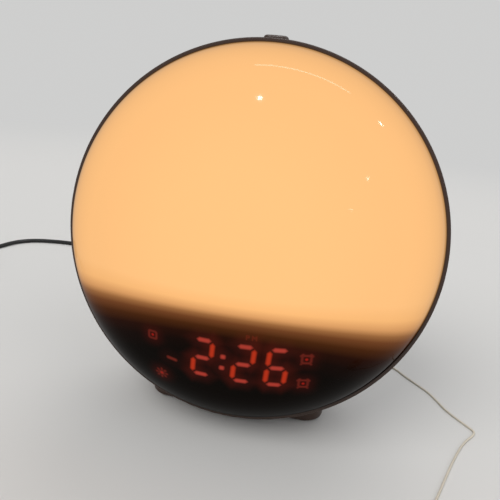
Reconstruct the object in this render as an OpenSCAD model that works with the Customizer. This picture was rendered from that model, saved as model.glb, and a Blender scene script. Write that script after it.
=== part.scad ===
// Round sunrise alarm clock: a lit dome over a sloping face with a time display,
// a dished rear casing with snooze bar, side buttons, speaker and battery hatch.
// Millimetres. The face looks along -Y, +Z is up, and the origin lies on the
// table under the middle of the casing.

/* [Casing] */
// Radius of the rim round the dome
rim_r = 86; // [82:0.5:92]
// Angle by which the face leans back, in degrees
tilt = 8; // [5:0.5:11]
// Height of the rim's lowest point above the table
rim_clear = 4; // [3.8:0.1:6]
// Width of the rim seen from the front
rim_w = 1.7; // [1.5:0.1:2.6]
// Depth of the rim from front to back
rim_depth = 3; // [2:0.25:4]
// Step from the rim down to the button band
rim_step = 0.8; // [0.4:0.1:1.2]
// Depth from the front of the rim to the end of the button band
band_depth = 20; // [19.5:0.5:24]
// Radius of the round between the band and the flat back
back_round = 24; // [22:0.5:26]
// Wall of the casing
shell_wall = 2.4; // [2:0.1:3]

/* [Dome] */
// Height of the dome in front of the rim
dome_h = 37; // [34:0.5:40]
// Radius of the dome's shoulder
dome_round = 37; // [34:0.5:40]
// Distance of the shoulder's centre behind the front of the rim
dome_sink = 11; // [9:0.25:13]
// Wall of the dome
dome_wall = 2.2; // [1.8:0.1:2.6]
// Depth of the dome's seat behind the front of the rim
dome_seat = 4; // [3.5:0.25:4.5]
// Gap all round between the dome and the rim
dome_gap = 0.2; // [0.1:0.05:0.4]

/* [Foot] */
// Width of the foot
foot_w = 88; // [80:1:96]
// Depth of the foot from front to back
foot_d = 36; // [33:0.5:38]
// Distance of the foot's front edge in front of the origin
foot_front = 8; // [6:0.5:10]
// Corner radius of the foot
foot_corner = 10; // [8:0.5:12]
// Height to which the foot runs up into the casing
foot_top = 23; // [22:0.5:25]
// Thickness of the rubber pad
pad_t = 1.8; // [1.4:0.1:2.2]
// How far the pad stands below the foot
pad_proud = 1; // [0.6:0.1:1.2]
// Inset of the pad from the foot's edge
pad_inset = 4; // [3:0.25:5]

/* [Inner frame] */
// Thickness of the frame plate
frame_t = 2; // [1.6:0.1:2.2]
// Gap between the frame and its neighbours
frame_gap = 0.4; // [0.3:0.05:0.6]
// Height of the light shelf on the face, from the middle
shelf_y = -26; // [-28:0.5:-24]
// Thickness of the light shelf
shelf_t = 1.6; // [1.2:0.1:2]
// Radius of the posts and bosses that take the casing screws
post_r = 4.5; // [4.2:0.1:5]
// Distance of the casing screws' meeting faces behind the rim's front
post_split = 30; // [27:0.5:33]

/* [Display] */
// Height of the display's middle on the face, from the middle
disp_y = -47.1; // [-48:0.1:-46]
// Distance between the middles of neighbouring digits
digit_pitch = 13.6; // [13:0.05:14]
// Extra distance between the two middle digits, for the colon
colon_gap = 3.4; // [2.8:0.05:3.6]
// Distance between the upright strokes of a digit
seg_w = 7.5; // [7.2:0.05:7.8]
// Distance between the level strokes of a digit
seg_h = 8.85; // [8.6:0.05:9.1]
// Width of a stroke
seg_t = 1.9; // [1.6:0.05:2.1]
// Gap between the ends of neighbouring strokes
seg_gap = 0.5; // [0.4:0.05:0.7]
// Lean of the digits, in degrees
seg_lean = 3.5; // [0:0.5:8]
// Half width of the reflector block
disp_half_w = 38; // [37.5:0.25:39]
// Half height of the reflector block
disp_half_h = 14.9; // [14.6:0.1:15]
// How much further the reflector block reaches down than up
disp_low = 2.2; // [2:0.1:2.4]
// Distance from the dome's inside to the front of the display board
disp_depth = 12; // [11:0.25:14]
// Thickness of every circuit board
board_t = 1.6; // [1.2:0.1:2]

/* [Snooze bar] */
// Half length of the snooze bar
snooze_half = 18; // [16:0.25:20]
// Depth of the snooze bar from front to back
snooze_w = 10; // [9:0.25:10.5]
// Distance from the rim's front to the middle of the snooze bar
snooze_z = 12; // [11.8:0.1:12.6]
// Height of the snooze bar above the button band
snooze_proud = 2.4; // [2:0.1:3]
// Half length of the raised thumb rib in the middle of the snooze bar
snooze_rib_half = 5.6; // [4:0.2:8]
// Depth of the thumb rib from front to back
snooze_rib_w = 7; // [5:0.25:8]
// Height of the thumb rib above the button band
snooze_rib_proud = 4.2; // [3.6:0.1:5]
// Travel of the snooze bar
snooze_travel = 0.8; // [0.5:0.05:1]

/* [Side buttons] */
// Distance between neighbouring side buttons
side_pitch = 16; // [15.5:0.1:16.5]
// Length of a side button
side_l = 12; // [10:0.25:12.5]
// Width of a side button
side_w = 7; // [6:0.25:8]
// Distance from the rim's front to the middle of the side buttons
side_z = 12; // [11.5:0.1:12.6]
// Height of a side button above the band
side_proud = 0.8; // [0.5:0.05:0.8]
// Travel of a side button
side_travel = 0.6; // [0.4:0.05:0.7]
// Gap all round a button in its opening
button_gap = 0.3; // [0.2:0.05:0.4]
// Width of the lip inside each button that keeps it in the casing
button_lip = 1.2; // [1:0.05:1.3]
// Thickness of that lip
lip_t = 1.4; // [1.2:0.1:1.6]

/* [Speaker] */
// Height of the speaker's middle on the back
speaker_y = 16; // [14:0.5:17]
// Radius of the speaker's flange
speaker_r = 25; // [24:0.25:26]
// Height of the speaker from the gasket to the end of the magnet
speaker_h = 18; // [16:0.5:20]
// Thickness of the foam gasket
gasket_t = 1; // [0.8:0.1:1.4]
// Radius of a grille hole
grille_hole_r = 1.2; // [0.9:0.05:1.4]
// Distance between the rings of grille holes
grille_pitch = 5; // [4.6:0.1:5.2]

/* [Battery hatch] */
// Height of the hatch's middle on the back
hatch_y = -34; // [-35:0.25:-33]
// Width of the hatch door
door_w = 32; // [31:0.5:34]
// Height of the hatch door
door_h = 25; // [24.5:0.25:26]
// Thickness of the hatch door
door_t = 1.6; // [1.2:0.1:1.8]
// Radius of the coin cell
cell_r = 10; // [9.5:0.25:10.5]
// Thickness of the coin cell
cell_t = 3.2; // [2:0.1:3.4]

/* [Sockets] */
// Distance of the power socket from the middle, to the side
jack_x = -34; // [-35:0.5:-33]
// Height of the power socket on the back
jack_y = -36; // [-38:0.5:-34]
// Distance of the aerial's grommet from the middle, to the side
aerial_x = 34; // [33:0.5:35]
// Height of the aerial's grommet on the back
aerial_y = -40; // [-42:0.5:-38]
// Diameter of the power lead
lead_d = 3.5; // [3:0.1:4]
// Diameter of the aerial wire
aerial_d = 1; // [0.8:0.05:1.2]

/* [Hidden] */

$fn = 64;
fine = 160;
eps = 0.01;
fit = 0.05;

// Casing, in the face's own frame: x to the right, y up the face, z towards the viewer
dome_r = rim_r - rim_w - dome_gap;
rebate_r = rim_r - rim_w;
band_r = rim_r - rim_step;
inner_r = band_r - shell_wall;
back_z = band_depth + back_round;
back_in = back_z - shell_wall;
flat_r = band_r - back_round;
frame_r = inner_r - frame_gap;
frame_front = -dome_seat;
frame_back = -dome_seat - frame_t;

// Dome outline: a shallow crown arc that runs smoothly into the shoulder arc
shoulder_c = dome_r - sqrt(dome_round * dome_round - dome_sink * dome_sink);
crown_c = (pow(dome_h - dome_round, 2) - shoulder_c * shoulder_c - dome_sink * dome_sink)
    / (2 * (dome_h - dome_round + dome_sink));
crown_r = dome_h - crown_c;
crown_a = asin(shoulder_c / (crown_r - dome_round));

// Place of the face's middle in the object's frame
front_most = crown_c * cos(tilt) + crown_r;
back_most = flat_r * sin(tilt) + band_depth * cos(tilt) + back_round;
face_y = (front_most - back_most) / 2;
face_z = rim_clear + rim_r * cos(tilt);

// Screws
screw_r = 1.45;
screw_head_r = 2.8;
screw_head_t = 2;
screw_small_r = 1.1;
speaker_boss_r = 2.2;
flange_t = 1.2;
shell_screw_at = [[0, 54], [-50.7, 18.5], [50.7, 18.5], [-49, -23], [49, -23]];
counterbore = 3;
dome_screw_a = [40, 140, 220, 320];
dome_boss_r = 3;
dome_boss_at = dome_r - dome_wall - dome_boss_r - 1.5;
dome_boss_h = 6.5;

// Places along the face
function arc(cx, cz, r, a0, a1, n) =
    [for (i = [0 : n]) let (a = a0 + (a1 - a0) * i / n) [cx + r * sin(a), cz + r * cos(a)]];
function dome_line(off) =
    let (end_a = acos(dome_sink / (dome_round - off)))
        concat(
            arc(0, crown_c, crown_r - off, 0, crown_a, 8),
            arc(shoulder_c, -dome_sink, dome_round - off, crown_a + 4, end_a, 11));
function dome_edge(off) = shoulder_c + sqrt(pow(dome_round - off, 2) - dome_sink * dome_sink);

module on_face() {
    translate([0, face_y, face_z])
        rotate([90 - tilt, 0, 0])
            children();
}

// The display's frame: its middle touches the dome's inside, its z runs out of the dome
disp_pitch = -asin(disp_y / crown_r);
module on_display() {
    on_face()
        translate([0, 0, crown_c])
            rotate([disp_pitch, 0, 0])
                translate([0, 0, crown_r - dome_wall])
                    children();
}

// A point of the display's frame, in the face's frame
function display_point(x, y, z) =
    let (a = disp_pitch, h = z + crown_r - dome_wall)
        [x, y * cos(a) - h * sin(a), crown_c + y * sin(a) + h * cos(a)];

module rounded_plate(w, d, r, h) {
    linear_extrude(h) {
        square([w - 2 * r, d], center = true);
        square([w, d - 2 * r], center = true);
        for (x = [-1, 1], y = [-1, 1])
            translate([x * (w / 2 - r), y * (d / 2 - r)])
                circle(r);
    }
}

module centred_box(w, d, h) {
    translate([-w / 2, -d / 2, 0])
        cube([w, d, h]);
}

// Wire through a list of points, with round joints
module wire(points, r) {
    for (i = [0 : len(points) - 2])
        let (a = points[i], d = points[i + 1] - a, l = norm(d))
            translate(a)
                rotate([0, acos(d[2] / l), atan2(d[1], d[0])])
                    cylinder(h = l, r = r, $fn = 16);
    for (i = [1 : len(points) - 2])
        translate(points[i])
            sphere(r, $fn = 16);
}

// ---- dome ----

module dome_solid(off, base) {
    rotate_extrude($fn = fine)
        polygon(concat([[0, base]], dome_line(off), [[dome_edge(off), base]]));
}

module front_dome() {
    color("sandybrown")
        on_face() {
            difference() {
                dome_solid(0, -dome_seat);
                dome_solid(dome_wall, -dome_seat - 1);
            }
            for (a = dome_screw_a)
                rotate([0, 0, a])
                    difference() {
                        union() {
                            translate([dome_boss_at, 0, -dome_seat])
                                cylinder(h = dome_boss_h, r = dome_boss_r);
                            translate([dome_boss_at, -1, -dome_seat])
                                cube([dome_r - dome_wall + 0.3 - dome_boss_at, 2, dome_boss_h]);
                        }
                        translate([dome_boss_at, 0, -dome_seat - 1])
                            cylinder(h = dome_boss_h, r = screw_r + fit);
                    }
        }
}

// ---- rear casing ----

module shell_outer() {
    rotate_extrude($fn = fine)
        polygon(concat(
            [[0, 0], [rim_r - 0.5, 0], [rim_r, -0.5], [rim_r, -rim_depth], [band_r, -rim_depth - 0.6]],
            [for (i = [0 : 12]) let (a = i * 90 / 12)
                [flat_r + back_round * cos(a), -band_depth - back_round * sin(a)]],
            [[0, -back_z]]));
}

module shell_inner() {
    inner_round = back_round - shell_wall;
    rotate_extrude($fn = fine)
        polygon(concat(
            [[0, 1], [rebate_r, 1], [rebate_r, -dome_seat], [inner_r, -dome_seat]],
            [for (i = [0 : 12]) let (a = i * 90 / 12)
                [flat_r + inner_round * cos(a), -band_depth - inner_round * sin(a)]],
            [[0, -back_in]]));
}

module foot_block(inset, z0, z1) {
    translate([0, foot_d / 2 - foot_front, z0])
        rounded_plate(foot_w - 2 * inset, foot_d - 2 * inset, foot_corner - inset, z1 - z0);
}

module side_pill(grow) {
    // Button outline pushed out along x, in the face's frame, for the right-hand side
    l = side_l + 2 * grow;
    w = side_w + 2 * grow;
    translate([0, 0, -side_z])
        rotate([0, 90, 0])
            linear_extrude(rim_r + 1) {
                square([w, l - w], center = true);
                for (y = [-1, 1])
                    translate([0, y * (l - w) / 2])
                        circle(w / 2);
            }
}

module snooze_plate(half, w, corner) {
    translate([0, inner_r / 2, -snooze_z])
        rotate([-90, 0, 0])
            rounded_plate(2 * half, w, corner, rim_r + 10);
}

module snooze_block(grow) {
    snooze_plate(snooze_half + grow, snooze_w + 2 * grow, snooze_corner + grow);
}

side_count = 4;
snooze_corner = 3;
snooze_rib_corner = 2;
side_y = [for (i = [0 : side_count - 1]) (i - (side_count - 1) / 2) * side_pitch];
door_gap = 0.2;
pocket_wall = 1.6;
pocket_shift = -2.5;
pocket_w = 2 * cell_r + 4;
pocket_h = 2 * cell_r + 2;
cell_gap = 0.3;
leaf_gap = 0.1;
leaf_room = 2.8;
cell_z = -back_z + door_t + cell_gap;
pocket_top = cell_z + cell_t + leaf_room;
door_screw_x = door_w / 2 - 3.6;
door_screw_l = 6;
door_boss_r = 3.2;
jack_neck_r = 4;
jack_w = 9;
jack_h = 11;
jack_depth = 13;
cradle_t = 1.4;
cradle_h = 8;
grommet_r = 2.2;

module grille_holes() {
    rings = floor((speaker_r - 3) / grille_pitch);
    for (k = [0 : rings])
        for (i = [0 : max(6 * k, 1) - 1])
            rotate([0, 0, 60 * i / max(k, 1)])
                translate([k * grille_pitch, 0, -back_z - 1])
                    cylinder(h = shell_wall + 2, r = grille_hole_r, $fn = 24);
}

module battery_pocket_outer() {
    translate([pocket_shift, hatch_y, -back_in - eps])
        centred_box(pocket_w + 2 * pocket_wall, pocket_h + 2 * pocket_wall,
            pocket_top + pocket_wall + back_in + eps);
    translate([door_screw_x, hatch_y, -back_in - eps])
        cylinder(h = door_screw_l, r = door_boss_r);
}

module battery_pocket_inner() {
    // The seat of the door and the cell's room behind it
    translate([0, hatch_y, -back_z - 1])
        centred_box(door_w + 2 * door_gap, door_h + 2 * door_gap, door_t + 1);
    translate([pocket_shift, hatch_y, -back_z + door_t - eps])
        centred_box(pocket_w, pocket_h, pocket_top + back_z - door_t + eps);
    translate([door_screw_x, hatch_y, -back_z])
        cylinder(h = door_screw_l + 1, r = screw_small_r + 0.3);
}

// Places round the speaker's flange where its screws clamp it
module at_speaker_screws(z) {
    for (a = [45 : 90 : 315])
        rotate([0, 0, a])
            translate([speaker_r + speaker_boss_r + 0.15, 0, z])
                children();
}

module rear_shell() {
    color("#40302a")
        difference() {
            union() {
                difference() {
                    union() {
                        on_face() shell_outer();
                        foot_block(0, pad_proud, foot_top);
                    }
                    on_face() shell_inner();
                    intersection() {
                        foot_block(shell_wall, pad_t + shell_wall, foot_top + 30);
                        on_face()
                            translate([-rim_r, -rim_r - 10, -back_in])
                                cube([2 * rim_r, 2 * rim_r, back_in - dome_seat]);
                    }
                }
                on_face() {
                    for (p = shell_screw_at)
                        translate([p[0], p[1], -back_in - eps])
                            cylinder(h = back_in - post_split + eps, r = post_r);
                    translate([0, speaker_y, 0])
                        at_speaker_screws(-back_in - eps)
                            cylinder(h = gasket_t + flange_t + eps, r = speaker_boss_r);
                    battery_pocket_outer();
                    for (x = [-1, 1])
                        translate([jack_x + x * (jack_w / 2 + fit + cradle_t / 2), jack_y, -back_in - eps])
                            centred_box(cradle_t, jack_h, cradle_h);
                }
            }
            foot_block(pad_inset - 0.2, 0, pad_t);
            on_face() {
                for (s = [0, 1])
                    mirror([s, 0, 0])
                        for (y = side_y)
                            translate([inner_r / 2, y, 0])
                                side_pill(button_gap);
                snooze_block(button_gap);
                for (p = shell_screw_at)
                    translate([p[0], p[1], -back_z]) {
                        translate([0, 0, -1])
                            cylinder(h = counterbore + 1, r = screw_head_r + 0.3);
                        cylinder(h = back_round, r = screw_r + fit);
                    }
                translate([0, speaker_y, 0]) {
                    grille_holes();
                    at_speaker_screws(-back_in - 1)
                        cylinder(h = 10, r = screw_small_r + fit);
                }
                battery_pocket_inner();
                translate([jack_x, jack_y, -back_z - 1])
                    cylinder(h = shell_wall + 2, r = jack_neck_r + fit);
                translate([aerial_x, aerial_y, -back_z - 1])
                    cylinder(h = shell_wall + 2, r = grommet_r + fit);
            }
        }
}

module foot_pad() {
    color("#141414")
        foot_block(pad_inset, 0, pad_t);
}

// ---- inner frame and what it carries ----

switch_h = 3.5;
actuator_h = 1.3;
actuator_r = 1.7;
switch_w = 6;
side_board_x = inner_r - 14.8;
side_board_half = side_pitch * side_count / 2;
side_board_w = 11.6;
snooze_board_y = inner_r - 14.8;
snooze_board_half = 24;
rib_t = 2;
rib_lip = 2.4;
main_front = 12.4;
main_w = 84;
main_top = -12;
main_bottom = -62;
main_hole_at = [[-38, -16], [38, -16], [-34, -58], [34, -58]];
disp_hole_in = 3;
disp_post_r = 3.2;
disp_ends = [-disp_half_h - disp_low, disp_half_h];
disp_hole_at = [for (x = [-1, 1], end = [0, 1])
    [x * (disp_half_w - disp_hole_in), disp_ends[end] + (1 - 2 * end) * disp_hole_in]];
light_board_gap = 1.1;
light_board_r = dome_boss_at - dome_boss_r - light_board_gap;
light_hole_in = 8;
light_hole_at = [for (a = [90, 150, 30, 194.5, -14.5])
    (light_board_r - light_hole_in) * [cos(a), sin(a)]];
light_board_bottom = shelf_y + shelf_t / 2 + 1;
hole_r = 1.35;
slot_w = 16;

module switch_ribs() {
    // Pairs of grooved ribs that hold the ends of the three switch boards
    for (s = [-1, 1], e = [-1, 1])
        translate([s * (side_board_x + board_t / 2), e * (side_board_half + rib_t / 2),
                frame_back - side_board_w - 1])
            centred_box(board_t + 2 * rib_lip, rib_t, side_board_w + 1 + eps);
    for (e = [-1, 1])
        translate([e * (snooze_board_half + rib_t / 2), snooze_board_y + board_t / 2,
                frame_back - side_board_w - 1])
            centred_box(rib_t, board_t + 2 * rib_lip, side_board_w + 1 + eps);
}

module inner_frame() {
    color("ivory")
        difference() {
            union() {
                on_face() {
                    translate([0, 0, frame_back])
                        cylinder(h = frame_t, r = frame_r, $fn = fine);
                    // Shelf that keeps the lamp's light out of the display
                    intersection() {
                        dome_solid(dome_wall + frame_gap, frame_front - eps);
                        translate([-rim_r, shelf_y - shelf_t / 2, frame_front - eps])
                            cube([2 * rim_r, shelf_t, 2 * dome_h]);
                    }
                    for (p = shell_screw_at)
                        translate([p[0], p[1], -post_split])
                            cylinder(h = post_split + frame_back + eps, r = post_r - 1);
                    for (p = main_hole_at)
                        translate([p[0], p[1], -main_front])
                            cylinder(h = main_front + frame_back + eps, r = 3);
                    switch_ribs();
                }
                // Posts up to the back of the leaning display board
                difference() {
                    on_face()
                        for (p = disp_hole_at)
                            let (q = display_point(p[0], p[1], -disp_depth - board_t))
                                translate([q[0], q[1], frame_front - eps])
                                    cylinder(h = q[2] - frame_front + 2, r = disp_post_r);
                    on_display()
                        translate([-rim_r, -rim_r, -disp_depth - board_t])
                            cube([2 * rim_r, 2 * rim_r, 2 * disp_depth]);
                }
            }
            on_face() {
                for (p = shell_screw_at)
                    translate([p[0], p[1], -post_split - 1])
                        cylinder(h = post_split + frame_back - 3, r = screw_r + fit);
                for (p = main_hole_at)
                    translate([p[0], p[1], -main_front - 1])
                        cylinder(h = 6, r = screw_small_r + fit);
                for (a = dome_screw_a)
                    rotate([0, 0, a])
                        translate([dome_boss_at, 0, frame_back - 1])
                            cylinder(h = frame_t + 2, r = screw_r + fit);
                for (p = light_hole_at)
                    translate([p[0], p[1], frame_back - 1])
                        cylinder(h = frame_t + 2, r = screw_small_r + fit);
                // Slots for the display ribbon and the lamp lead
                translate([0, ribbon_y, frame_back - 1])
                    centred_box(slot_w, 5, frame_t + 2);
                translate([0, light_lead_y, frame_back - 1])
                    centred_box(8, 4, frame_t + 2);
            }
            on_display()
                for (p = disp_hole_at)
                    translate([p[0], p[1], -disp_depth - board_t - 6])
                        cylinder(h = 7, r = screw_small_r + fit);
        }
}

module light_board() {
    color("whitesmoke")
        on_face()
            difference() {
                intersection() {
                    translate([0, 0, frame_front])
                        cylinder(h = board_t, r = light_board_r, $fn = fine);
                    translate([-rim_r, light_board_bottom, frame_front])
                        cube([2 * rim_r, 2 * rim_r, board_t]);
                }
                for (p = light_hole_at)
                    translate([p[0], p[1], frame_front - 1])
                        cylinder(h = board_t + 2, r = hole_r);
                translate([0, light_lead_y, frame_front - 1])
                    centred_box(8, 4, board_t + 2);
            }
}

// Rings of lamps, counted inwards from the edge, each as [ring, lamps, first lamp's shift],
// leaving out what would fall below the shelf
lamp_edge = 6;
lamp_pitch = 11;
module lamp_rings(rings, w, l, h) {
    for (ring = rings)
        for (i = [0 : ring[1] - 1])
            let (a = 90 + 360 * (i + ring[2]) / ring[1],
                    r = light_board_r - lamp_edge - ring[0] * lamp_pitch)
                if (r * sin(a) > light_board_bottom + l)
                    rotate([0, 0, a])
                        translate([r, 0, frame_front + board_t])
                            centred_box(w, l, h);
}

module white_leds() {
    color("lemonchiffon")
        on_face()
            lamp_rings([[0, 24, 0.5], [2, 16, 0.5], [4, 8, 0]], 3.5, 2.8, 0.8);
}

module colour_leds() {
    color("white")
        on_face()
            lamp_rings([[1, 16, 0.5], [3, 12, 0.5], [5, 4, 0.5]], 5, 5, 1.5);
}

// ---- display ----

digit_x = [for (i = [-1.5, -0.5, 0.5, 1.5]) i * digit_pitch + (i > 0 ? 1 : -1) * colon_gap / 2];
seg_level = seg_w - seg_t / 2 - 2 * seg_gap + 0.35;
seg_upright = seg_h - seg_t / 2 - seg_gap - 0.35;
colon_y = [2.4, -3.35];
colon_half = 1;
icon_half = 1.5;
icon_at = [[-30.9, 5], [-27.5, -14.6], [33.5, 5.2], [33.4, -7.4]];
dash_at = [-22.1, -4.6];
dash_size = [4.2, 1.4];
mark_at = [10.9, 13];
mark_size = [5, 2];
disp_corner = 13;

function leaned(p) = [p[0] + p[1] * tan(seg_lean), p[1]];
// A stroke with pointed ends, along x when turn is 0 and along y when it is 1
function stroke(cx, cy, l, t, turn) = [
    for (q = [[-l / 2 + t / 2, -t / 2], [l / 2 - t / 2, -t / 2], [l / 2, 0],
            [l / 2 - t / 2, t / 2], [-l / 2 + t / 2, t / 2], [-l / 2, 0]])
        leaned(turn == 0 ? [cx + q[0], cy + q[1]] : [cx + q[1], cy - q[0]])];

module strokes_2d(grow) {
    t = seg_t + 2 * grow;
    for (x = digit_x)
        translate([x, 0]) {
            for (j = [-1, 0, 1])
                polygon(stroke(0, j * seg_h, seg_level + 2 * grow, t, 0));
            for (s = [-1, 1], j = [-1, 1])
                polygon(stroke(s * seg_w / 2, j * seg_h / 2, seg_upright + 2 * grow, t, 1));
        }
    for (y = colon_y)
        translate([0, y])
            square(2 * (colon_half + grow), center = true);
}

module icons_2d(grow) {
    for (p = icon_at)
        translate(p)
            square(2 * (icon_half + grow), center = true);
    translate(dash_at)
        square(dash_size + 2 * grow * [1, 1], center = true);
    translate(mark_at)
        square(mark_size + 2 * grow * [1, 1], center = true);
}

// Pushes a flat outline from the display board to just behind the dome
module behind_dome(gap) {
    intersection() {
        translate([0, 0, -disp_depth])
            linear_extrude(2 * disp_depth)
                children();
        translate([0, 0, dome_wall - crown_r])
            sphere(crown_r - dome_wall - gap, $fn = fine);
    }
}

module display_outline() {
    translate([-disp_half_w, disp_ends[0]])
        square([2 * disp_half_w, disp_ends[1] - disp_ends[0]]);
}

module display_housing() {
    color("#1c1616")
        on_display()
            difference() {
                behind_dome(frame_gap)
                    difference() {
                        display_outline();
                        for (x = [-1, 1], y = disp_ends)
                            translate([x * disp_half_w, y])
                                rotate([0, 0, 45])
                                    square(disp_corner, center = true);
                    }
                translate([0, 0, -disp_depth - 1])
                    linear_extrude(3 * disp_depth) {
                        strokes_2d(fit);
                        icons_2d(fit);
                    }
            }
}

module display_segments() {
    color("orangered")
        on_display()
            behind_dome(frame_gap + 0.2)
                strokes_2d(0);
}

module display_icons() {
    color("indianred")
        on_display()
            behind_dome(frame_gap + 0.2)
                icons_2d(0);
}

module display_board() {
    color("darkgreen")
        on_display()
            difference() {
                translate([0, 0, -disp_depth - board_t])
                    linear_extrude(board_t)
                        display_outline();
                for (p = disp_hole_at)
                    translate([p[0], p[1], -disp_depth - board_t - 1])
                        cylinder(h = board_t + 2, r = hole_r);
            }
}

// ---- main board ----

module main_board() {
    color("darkgreen")
        on_face()
            difference() {
                translate([-main_w / 2, main_bottom, -main_front - board_t])
                    cube([main_w, main_top - main_bottom, board_t]);
                for (p = main_hole_at)
                    translate([p[0], p[1], -main_front - board_t - 1])
                        cylinder(h = board_t + 2, r = hole_r);
            }
}

// Places a part on the rear face of the main board
module on_main(x, y) {
    on_face()
        translate([x, y, -main_front - board_t])
            mirror([0, 0, 1])
                children();
}

module main_chips() {
    color("#222222") {
        on_main(0, -30) centred_box(10, 10, 1.6);
        on_main(-20, -24) centred_box(5, 6, 1.5);
        on_main(18, -44) centred_box(5, 5, 1.5);
        on_main(28, -28) centred_box(12, 11, 2);
        on_main(-20, -46) centred_box(6, 5, 1.5);
    }
}

module crystal() {
    color("silver")
        on_main(0, -44)
            centred_box(10, 4.5, 3.5);
}

module capacitors() {
    color("#30343c")
        for (c = [[-32, -26, 3.2, 7], [-32, -48, 2.6, 6], [10, -54, 3.2, 7]])
            on_main(c[0], c[1])
                cylinder(h = c[3], r = c[2]);
}

// ---- power socket and lead ----

jack_bore_r = 2.85;
jack_bore_depth = 10;
jack_pin_r = 0.95;
plug_r = 2.75;
plug_barrel = 9.5;
plug_clear = 0.4;
plug_body_r = 5;
plug_body_l = 17;
relief_l = 20;
relief_r = 3.4;
relief_tip_r = lead_d / 2 + 0.45;

module on_jack(z) {
    on_face()
        translate([jack_x, jack_y, z])
            children();
}

module dc_jack() {
    color("#1a1a1a")
        difference() {
            union() {
                on_jack(-back_in)
                    centred_box(jack_w, jack_h, jack_depth);
                on_jack(-back_z + 0.4)
                    cylinder(h = shell_wall, r = jack_neck_r);
            }
            on_jack(-back_z - 1)
                cylinder(h = jack_bore_depth + 1, r = jack_bore_r);
        }
    color("gold")
        on_jack(-back_z + 2)
            cylinder(h = jack_bore_depth - 1, r = jack_pin_r);
}

module dc_plug() {
    color("#151515") {
        on_jack(-back_z - plug_clear - plug_body_l)
            difference() {
                union() {
                    cylinder(h = plug_body_l, r = plug_body_r);
                    translate([0, 0, -relief_l])
                        cylinder(h = relief_l + eps, r1 = relief_tip_r, r2 = relief_r);
                }
                for (k = [0 : 4])
                    translate([0, 0, 3 + 2.4 * k])
                        rotate_extrude()
                            translate([plug_body_r - 0.35, 0])
                                square([1, 1.2]);
            }
    }
    color("silver")
        on_jack(-back_z - plug_clear - eps)
            difference() {
                cylinder(h = plug_barrel, r = plug_r);
                translate([0, 0, 1])
                    cylinder(h = plug_barrel, r = jack_pin_r + 0.15);
            }
}

// ---- cords: the tubes run through hand-laid points, the rest is coiled ----

power_route = [
    [-34, 68.2, 42.3], [-34, 78, 40.2], [-34.5, 87, 34.5], [-36, 95, 25.5], [-38, 103, 15.5],
    [-41, 112, 7], [-46, 121, 2.9], [-54, 131, 1.85], [-67, 144, 1.75], [-86, 160, 1.75],
    [-110, 176, 1.75], [-138, 189, 1.75], [-168, 196, 1.75], [-198, 197, 1.75],
    [-218, 194, 1.75], [-231, 189.3, 1.75], [-240, 181.3, 1.75], [-244.3, 172.5, 1.75],
    [-247, 162, 1.75], [-252.5, 151, 1.75], [-262, 140, 1.75], [-271.5, 129.5, 1.75],
    [-277.5, 117, 1.75], [-277.7, 104, 1.75]
];
power_tail = [
    [-273.1, 89.2, 5.25], [-268.7, 82.6, 4.7], [-264.2, 76.3, 3.2], [-259.5, 69.8, 2.1],
    [-255, 63, 1.8], [-251, 56, 2.1], [-246.8, 49.5, 3], [-243.5, 44.3, 3.8], [-242, 42, 4]
];
power_coil_at = [-252, 104];
power_coil_mid = 18.75;
power_coil_turns = [5, 2];
usb_at = [-242, 42, 4];
usb_turn = -59;
aerial_route = [
    [34, 33.2, 43.1], [34, 38, 42], [34.5, 43, 38], [36, 48, 31], [38, 53, 22], [41, 57.5, 12.5],
    [45.5, 61.5, 4.5], [52, 64, 0.8], [60, 66, 0.5], [70, 66.5, 0.5], [79, 65, 0.5],
    [86, 61.3, 0.5], [91, 54.5, 0.5], [97, 47, 0.5], [102.5, 40, 0.5], [106, 32.5, 0.5],
    [109.3, 25, 0.5], [113.3, 19, 0.5], [117.5, 13.6, 0.5], [119.7, 10, 0.5],
    [118.3, 6.5, 0.5], [113.8, 0.8, 0.5], [109, -7, 0.5], [103, -19, 0.5],
    [97.3, -31.5, 0.5], [91.8, -43.5, 0.5], [87, -51.5, 0.5], [85.9, -55.5, 0.5],
    [86.3, -59.4, 0.5]
];
aerial_coil_at = [93.8, -59.4];
aerial_coil_mid = 6;
aerial_coil_turns = [4, 4];

function unit(v) = v / norm(v);
function heading(p, i) = unit(p[min(i + 1, len(p) - 1)] - p[max(i - 1, 0)]);
// Points of a smooth curve through the route, a few for each stretch
function smooth(p, n) = [
    for (i = [0 : len(p) - 2], k = [0 : n - 1])
        let (t = k / n, m = norm(p[i + 1] - p[i]), a = heading(p, i) * m, b = heading(p, i + 1) * m)
            p[i] * (2 * t * t * t - 3 * t * t + 1) + a * (t * t * t - 2 * t * t + t)
            + p[i + 1] * (3 * t * t - 2 * t * t * t) + b * (t * t * t - t * t),
    p[len(p) - 1]];
function ring(p, i, r, sides) =
    let (d = heading(p, i), side = unit(cross(d, [0, 0, 1])), up = cross(side, d))
        [for (k = [0 : sides - 1]) let (a = 360 * (k + 0.5) / sides)
            p[i] + r * cos(a) * side + r * sin(a) * up];

// Round tube along a route
module tube(p, r, sides) {
    n = len(p);
    points = [for (i = [0 : n - 1]) each ring(p, i, r, sides)];
    walls = [for (i = [0 : n - 2], k = [0 : sides - 1])
        let (m = (k + 1) % sides)
            [i * sides + k, i * sides + m, (i + 1) * sides + m, (i + 1) * sides + k]];
    start = [[for (k = [0 : sides - 1]) sides - 1 - k]];
    end = [[for (k = [0 : sides - 1]) (n - 1) * sides + k]];
    polyhedron(points, concat(walls, start, end), convexity = 6);
}

module power_lead() {
    color("#101010") {
        tube(smooth(power_route, 2), lead_d / 2, 8);
        tube(power_tail, lead_d / 2, 8);
    }
}

// Outer shape of a coil: so many turns side by side and so many on each other
module coil_ring(at, mid, turns, d) {
    w = turns[0] * d;
    translate([at[0], at[1], 0])
        rotate_extrude()
            translate([mid - w / 2, 0])
                square([w, turns[1] * d]);
}

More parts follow.
